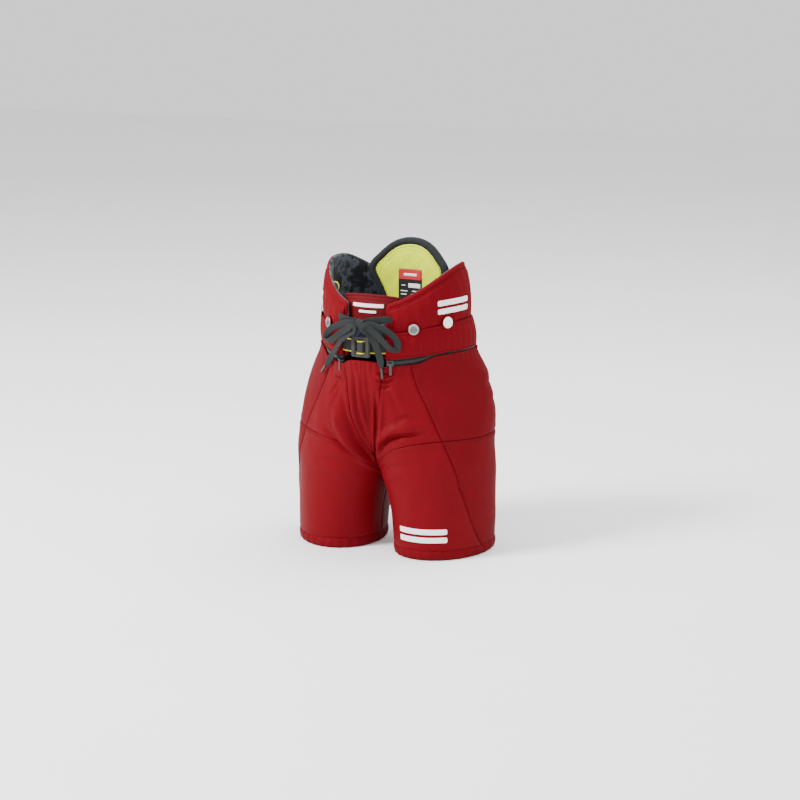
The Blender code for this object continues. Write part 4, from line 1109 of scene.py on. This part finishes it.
def eyelet(name, side):
    outline = [(0.0036, 0.0012), (0.0041, 0.0010), (0.0044, 0.0006), (0.0044, -0.0004), (0.0026, -0.0004),
               (0.0024, 0.0004), (0.0027, 0.0010), (0.0031, 0.0012)]
    place = surface_frame(lambda a, b: girdle_points(side, a, b, WING_DEPTH - 0.0012), EYELET_T, EYELET_H)
    mesh = turned(name, outline, 36, place, closed=True)
    add_object(f"{name}_ring", mesh, "girdle", "eyelet_metal", DARK_STEEL, replaces=(name,))


# ---- Tongue and back pad ----

def tongue():
    """The padded tongue behind the lace, with a bound edge, a front seam and a dark lining."""
    base_t = girdle_share(TONGUE_HALF_WIDTH, 0.0, TONGUE_DEPTH)
    u = np.linspace(-1.0, 1.0, 71)[None, :]
    v = edge_dense(60)[:, None]

    def place(depth, inset):
        droop = 0.0040 * u**2
        top = TONGUE_TOP_Z - droop - inset
        z = TONGUE_BASE_Z + (top - TONGUE_BASE_Z) * v
        t = np.abs(u) * base_t * (1.0 - inset / TONGUE_HALF_WIDTH) + 0.0 * v
        side_left = girdle_points(LEFT, t, z - GIRDLE_FRONT_Z, depth)
        side_right = girdle_points(RIGHT, t, z - GIRDLE_FRONT_Z, depth)
        points = np.where((u >= 0.0)[..., None], side_left, side_right)
        points[..., 2] = z + 0.0 * u
        return points

    rim = np.minimum(1.0 - np.abs(u), np.minimum(v, 1.0 - v) * 2.0)
    puff = np.clip(rim / 0.30, 0.0, 1.0) ** 0.5
    seam = np.exp(-((1.0 - np.abs(u) - 0.16) / 0.02) ** 2) + np.exp(-((1.0 - v - 0.09) / 0.012) ** 2)
    ripple = 0.0003 * np.sin(9.0 * u + 14.0 * v) * np.sin(21.0 * v + 5.0 * u)
    front = place(TONGUE_DEPTH + 0.0030 - 0.0038 * puff + 0.0007 * np.minimum(seam, 1.0) - ripple, 0.0)
    back = place(TONGUE_DEPTH + 0.0030 + 0.0030 * puff, 0.0)
    mesh = grid_mesh("tongue_front", front)
    made = add_object("tongue_face", mesh, "tongue", "waist_knit", TONGUE_KNIT, LINING,
                      replaces=("front_tongue",))
    for face in mesh.polygons:
        face.material_index = int(face.center.z < TONGUE_LINING_TOP_Z)
    mesh = grid_mesh("tongue_back", back)
    mesh.flip_normals()
    add_object("tongue_lining", mesh, "tongue", "lining", LINING)
    edge = [Vector(p) for p in (*front[:, 0][5:], *front[-1][1:-1], *front[::-1, -1][:-5])]
    centre = Vector((0.0, Y_SHIFT, 0.0))

    def facing(i):
        out = edge[i] - centre
        out.z = 0.0
        return out

    mesh = sweep("tongue_binding", edge, round_section(0.0019, 10), facing)
    add_object("tongue_binding", mesh, "tongue", "waist_knit", TONGUE_KNIT)


def pad_loop():
    rising = [(width, z) for z, width in BACK_PAD_OUTLINE]
    falling = [(-width, z) for z, width in reversed(BACK_PAD_OUTLINE[:-1])]
    return rising + falling


def pad_place(x, z, depth):
    y = 0.0545 + 0.02 * (z - BACK_PAD_OUTLINE[0][0]) - 0.0160 * (x / 0.062) ** 2
    return Vector((x, y + depth + Y_SHIFT, z))


def pad_inset(share, inset):
    loop = pad_loop()
    place = share * len(loop)
    index = int(place) % len(loop)
    k = place - int(place)
    a, b, c, d = (Vector(loop[(index + i) % len(loop)]) for i in (-1, 0, 1, 2))
    point = spline_point(a, b, c, d, k)
    centre = Vector((0.0, BACK_PAD_CENTRE_Z))
    reach = (point - centre).length
    return centre + (point - centre) * (1.0 - inset / reach)


PAD_CENTRE = Vector((0.0, BACK_PAD_CENTRE_Z))
PAD_STEPS = 180


def pad_crown(share):
    """How far the face stands out, from 0 at the binding (share 1) to 1 over the middle."""
    seam = np.exp(-(((share - 0.80) / 0.018) ** 2))
    return np.sqrt(np.maximum(1.0 - share**5, 0.0)) * (1.0 - 0.18 * seam)


def pad_face_place(x, z, lift):
    """A place on the pad's front face."""
    rim = [pad_inset(i / PAD_STEPS, 1.4 * BACK_PAD_BINDING_RADIUS) - PAD_CENTRE for i in range(PAD_STEPS)]
    turns = np.array([math.atan2(p.y, p.x) for p in rim])
    order = np.argsort(turns)
    reach = np.array([p.length for p in rim])[order]
    turn = np.arctan2(z - BACK_PAD_CENTRE_Z, x)
    share = np.hypot(x, z - BACK_PAD_CENTRE_Z) / np.interp(turn, turns[order], reach, period=2 * math.pi)
    depth = BACK_PAD_THICKNESS / 2 - 0.0028 - 0.0046 * pad_crown(share) - lift
    y = 0.0545 + 0.02 * (z - BACK_PAD_OUTLINE[0][0]) - 0.0160 * (x / 0.062) ** 2
    return np.stack([x, y + depth + Y_SHIFT, z], -1)


def back_pad():
    """The spine pad: crowned yellow face, dark back and a thick rolled binding."""
    rings = 30
    half = BACK_PAD_THICKNESS / 2
    for name, sign, surface, slot, replaces in (
        ("pad_face", -1.0, PAD_FACE, "pad_face", ("back_pad_foam",)),
        ("pad_back", 1.0, BLACK_KNIT, "pad_binding", ()),
    ):
        rows = []
        for j in range(rings + 1):
            share = 1.0 - j / rings * 0.985
            crown = float(pad_crown(np.array(share)))
            row = []
            for i in range(PAD_STEPS):
                rim = pad_inset(i / PAD_STEPS, 1.4 * BACK_PAD_BINDING_RADIUS)
                point = PAD_CENTRE + (rim - PAD_CENTRE) * share
                dimple = 0.0003 * math.sin(point.x * 260.0) * math.sin(point.y * 230.0)
                depth = half + sign * (0.0028 + 0.0046 * crown + dimple * crown)
                row.append(pad_place(point.x, point.y, depth))
            rows.append(row)
        points = np.array(rows)
        faces = grid_faces(rings + 1, PAD_STEPS, loop_columns=True)
        faces.append(tuple(rings * PAD_STEPS + i for i in range(PAD_STEPS)))
        mesh = outward_mesh(name, points.reshape(-1, 3), faces, sign > 0)
        made = add_object(name, mesh, "back_pad", slot, surface, replaces=replaces)
    edge = [pad_inset(i / PAD_STEPS, BACK_PAD_BINDING_RADIUS) for i in range(PAD_STEPS)]
    route = [pad_place(p.x, p.y, half) for p in edge]

    def section(i):
        swell = 1.0 + 0.012 * math.sin(i * 2.3) + 0.01 * math.sin(i * 0.7)
        return swell, round_section(BACK_PAD_BINDING_RADIUS, 18)

    mesh = sweep("pad_binding", route, section, lambda i: Vector((0.0, -1.0, 0.0)), closed=True)
    add_object("pad_roll", mesh, "back_pad", "pad_binding", BLACK_KNIT, replaces=("back_pad_binding",))
    inner = [pad_inset(i / PAD_STEPS, 2.05 * BACK_PAD_BINDING_RADIUS) for i in range(PAD_STEPS + 1)]
    line = np.array([pad_place(p.x, p.y, half - 0.0062) for p in inner])
    normals = np.tile((0.0, -1.0, 0.0), (len(line), 1))
    stitch_rows("pad_stitches", [(line, normals)], "back_pad", "pad_binding", BLACK_KNIT, pitch=0.0040,
                length=0.0029)
    label()


def label():
    """A sewn label with plain colour fields and bars in place of printing."""
    fields = [
        ("base", 0.0, LABEL_Z, LABEL_WIDTH, LABEL_HEIGHT, LABEL_BLACK, 0.0005),
        ("top", 0.0, LABEL_Z + 0.0145, LABEL_WIDTH - 0.001, 0.0150, LABEL_RED, 0.0008),
        ("top_bar", 0.0, LABEL_Z + 0.0145, 0.0200, 0.0034, LABEL_WHITE, 0.0011),
        ("window", 0.0065, LABEL_Z - 0.0010, 0.0190, 0.0062, LABEL_WHITE, 0.0008),
        ("line_0", -0.0105, LABEL_Z - 0.0010, 0.0060, 0.0012, LABEL_WHITE, 0.0008),
    ]
    lines = ((0.0105, -0.0095), (0.0105, 0.0080), (0.0085, -0.0100), (0.0120, 0.0070))
    for k, (width, shift) in enumerate(lines):
        height_at = LABEL_Z - 0.0090 - 0.0048 * (k // 2)
        fields.append((f"line_{k + 1}", shift, height_at, width, 0.0014, LABEL_WHITE, 0.0008))
    for name, x0, z0, width, height, surface, lift in fields:
        def on_pad(x, z, x0=x0, z0=z0, lift=lift):
            return pad_face_place(x0 + x, z0 + z, lift)
        mark(f"label_{name}", LEFT, on_pad, width, height, "back_pad", 0.0005, surface, "label_print",
             ("size_label",) if name == "base" else ())


# ---- Lace ----

def shifted(route):
    return [Vector(p) + Vector((0.0, Y_SHIFT, 0.0)) for p in route]


def ribbon_section(i, count):
    """A flat braid's section with a herringbone of raised threads."""
    across = np.linspace(-0.5, 0.5, 17)
    outer, inner = [], []
    for a in across:
        crown = math.sqrt(max(1.0 - (2 * a) ** 6, 0.0))
        thread = 0.00013 * math.sin(i * 1.15 + 26.0 * abs(a))
        outer.append((a * LACE_WIDTH, LACE_THICKNESS / 2 * crown + thread))
        inner.append((a * LACE_WIDTH, -LACE_THICKNESS / 2 * crown + thread * 0.5))
    squeeze = 0.58 + 0.42 * smooth_step(0.0, 9.0, min(i, count - 1 - i))
    return [(a * float(squeeze), b) for a, b in outer + inner[::-1]]


def lace(label, side, points):
    route = smooth_route(shifted(points), 14)
    count = len(route)

    def facing(i):
        share = i / (count - 1)
        lean = 0.9 * math.sin(share * 2 * math.pi * 1.5) * (0.2 < share < 0.95)
        return Vector((side * 0.25, -1.0, lean * 0.7))

    mesh = sweep(f"lace_ribbon_{label}", route, lambda i: (1.0, ribbon_section(i, count)), facing)
    made = add_object(f"lace_ribbon_{label}", mesh, "girdle", "lace_cord", CORD,
                      replaces=(f"lace_{label}",))


def knot():
    """The bow's knot: a short band wrapped over the crossing ribbons."""
    centre = Vector((0.0015, -0.1072 + Y_SHIFT, 0.3300))
    rings = []
    for k in range(28):
        across, up = math.cos(2 * math.pi * k / 28), math.sin(2 * math.pi * k / 28)
        rings.append(centre + Vector((0.0016 * up, -0.0046 * across, 0.0058 * up)))

    def facing(i):
        return rings[i] - centre

    section = [(a * 1.05, b * 0.95) for a, b in ribbon_section(60, 200)]
    mesh = sweep("lace_knot", rings, section, facing, closed=True)
    add_object("lace_knot", mesh, "girdle", "lace_cord", CORD)


# ---- Plain white marks ----

def mark(name, side, place_at, width, height, body, radius=0.002, surface=WHITE, slot="shell_nylon",
         replaces=()):
    """A thin printed patch with round corners, laid on a surface by place_at(x, z, lift)."""
    z = np.linspace(-0.5, 0.5, 15)[:, None] * height
    over = np.maximum(np.abs(z) - (height / 2 - radius), 0.0)
    half = width / 2 - radius + np.sqrt(np.maximum(radius**2 - over**2, 0.0))
    x = np.linspace(-1.0, 1.0, 41)[None, :] * half
    points = place_at(x, z + 0.0 * x)
    add_sheet(name, points, side, body, slot, surface, 0.0003, replaces, offset=1.0)


def marks():
    for label, side in SIDES:
        for k, (rise, height, width) in enumerate(((0.0064, 0.0075, 0.058), (-0.0050, 0.0075, 0.058))):
            def on_wing(x, z, side=side, rise=rise):
                t = 0.460 + x / 0.300
                h = 0.063 + rise + z
                return girdle_points(side, t, h, WING_DEPTH - wing_relief(side, t, h) - 0.0002)
            mark(f"wing_mark_{k}_{label}", side, on_wing, width, height, "girdle", slot="waist_knit")
    for k, (rise, width) in enumerate(((0.0066, 0.076), (-0.0052, 0.076))):
        def on_leg(x, z, rise=rise):
            height = 0.0345 + rise + z
            t = 0.250 + x / arc_length(np.full_like(x, 0.034))
            return shell_surface(LEFT, t, height, -0.0002)
        mark(f"leg_mark_{k}_left", LEFT, on_leg, width, 0.0078, "shell")


def tongue_marks():
    """Two slim bars on the tongue."""
    for k, (z0, width, height) in enumerate(((0.3515, 0.046, 0.0050), (0.3430, 0.026, 0.0034))):
        def on_tongue(x, z, z0=z0):
            height_at = z0 + z - GIRDLE_FRONT_Z
            steps = np.linspace(0.0, 0.4, 200)
            shares = np.interp(np.abs(x), girdle_points(LEFT, steps, 0.07, TONGUE_DEPTH)[:, 0], steps)
            points = girdle_points(LEFT, shares, height_at, TONGUE_DEPTH - 0.0013)
            points[..., 0] *= np.sign(x)
            points[..., 2] = z0 + z
            return points
        mark(f"tongue_mark_{k}", LEFT, on_tongue, width, height, "tongue", 0.0012, slot="waist_knit")


def hang_loop():
    """A small yellow loop of tape at the top of the right wing, inside."""
    base = girdle_points(RIGHT, 0.30, float(wing_height(0.30)) - 0.006, WAIST_LINER_DEPTH + 0.002)
    centre = Vector(base)
    route = [centre + Vector((0.0048 * math.cos(a), 0.0015 * math.cos(a), 0.0072 * math.sin(a)))
             for a in np.linspace(-0.6, math.pi + 0.6, 24)]
    tape = [(0.0018 * a, 0.0004 * b) for a, b in ((-1, -1), (1, -1), (1, 1), (-1, 1))]
    mesh = sweep("hang_loop", route, tape, lambda i: route[i] - centre)
    add_object("hang_loop", mesh, "girdle", "lining", YELLOW)


# ---- CAD nodes that stay ----

def dress_nodes():
    kept = {
        "thigh_guard_plate": GUARD, "thigh_guard_foam": INNER_FOAM, "hip_guard_foam": INNER_FOAM,
        "kidney_pad": INNER_FOAM, "zip_slider": DARK_STEEL, "zip_pull": DARK_STEEL, "aglet": AGLET,
    }
    for part, surface in kept.items():
        for label, _ in SIDES:
            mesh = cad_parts[f"{part}_{label}"].data
            mesh.materials.clear()
            mesh.materials.append(surface)


# ---- Stage, lights and camera ----

def stage():
    bpy.ops.mesh.primitive_plane_add(size=12.0, location=(0.0, 0.0, -0.0005))
    floor = bpy.context.object
    floor.name = "floor"
    pale = Surface("pale_floor", 0.9)
    pale.colour(pale.ramp(pale.noise(3.0), ((0.3, (0.90, 0.90, 0.90)), (0.7, (0.92, 0.92, 0.92)))))
    floor.data.materials.append(pale.material)
    world = bpy.data.worlds.new("studio")
    bpy.context.scene.world = world
    world.use_nodes = True
    background = world.node_tree.nodes["Background"]
    background.inputs["Color"].default_value = (1.0, 1.0, 1.0, 1.0)
    background.inputs["Strength"].default_value = 1.15
    for name, place, size, power in (
        ("key", (-1.5, -1.7, 2.3), 0.9, 190.0),
        ("fill", (2.2, -1.6, 1.3), 1.8, 26.0),
        ("top", (0.3, 0.8, 2.6), 1.8, 70.0),
    ):
        light = bpy.data.lights.new(name, "AREA")
        light.energy, light.size = power, size
        made = bpy.data.objects.new(name, light)
        made.location = place
        made.rotation_euler = (Vector((0.0, 0.0, 0.2)) - Vector(place)).to_track_quat("-Z", "Y").to_euler()
        bpy.context.scene.collection.objects.link(made)


def camera():
    """A long lens at the front, a little to the wearer's left and above."""
    around, above = math.radians(26.0), math.radians(12.5)
    right = Vector((math.cos(around), math.sin(around), 0.0))
    level = math.cos(above)
    toward = Vector((math.sin(around) * level, -math.cos(around) * level, math.sin(above)))
    upward = toward.cross(right)
    target = right * 0.00858 + upward * 0.19877 + Vector((0.0, Y_SHIFT, 0.0))
    made = bpy.data.objects.new("camera", bpy.data.cameras.new("camera"))
    made.data.lens = 94.4
    axes = Matrix((right, upward, toward)).transposed().to_4x4()
    made.matrix_world = Matrix.Translation(target + toward * 3.0) @ axes
    bpy.context.scene.collection.objects.link(made)
    bpy.context.scene.camera = made


camera()
for side_label, side_sign in SIDES:
    shell_half(side_label, side_sign)
    waist_half(side_label, side_sign)
    zip_half(side_label, side_sign)
    snap(f"snap_front_{side_label}", side_sign, SNAP_FRONT_T, False)
    snap(f"snap_side_{side_label}", side_sign, SNAP_SIDE_T, True)
    eyelet(f"eyelet_{side_label}", side_sign)
fly_panel()
gusset()
belt()
buckle()
tongue()
back_pad()
lace("left", LEFT, LACE_LEFT)
lace("right", RIGHT, LACE_RIGHT)
knot()
marks()
tongue_marks()
hang_loop()
dress_nodes()
stage()
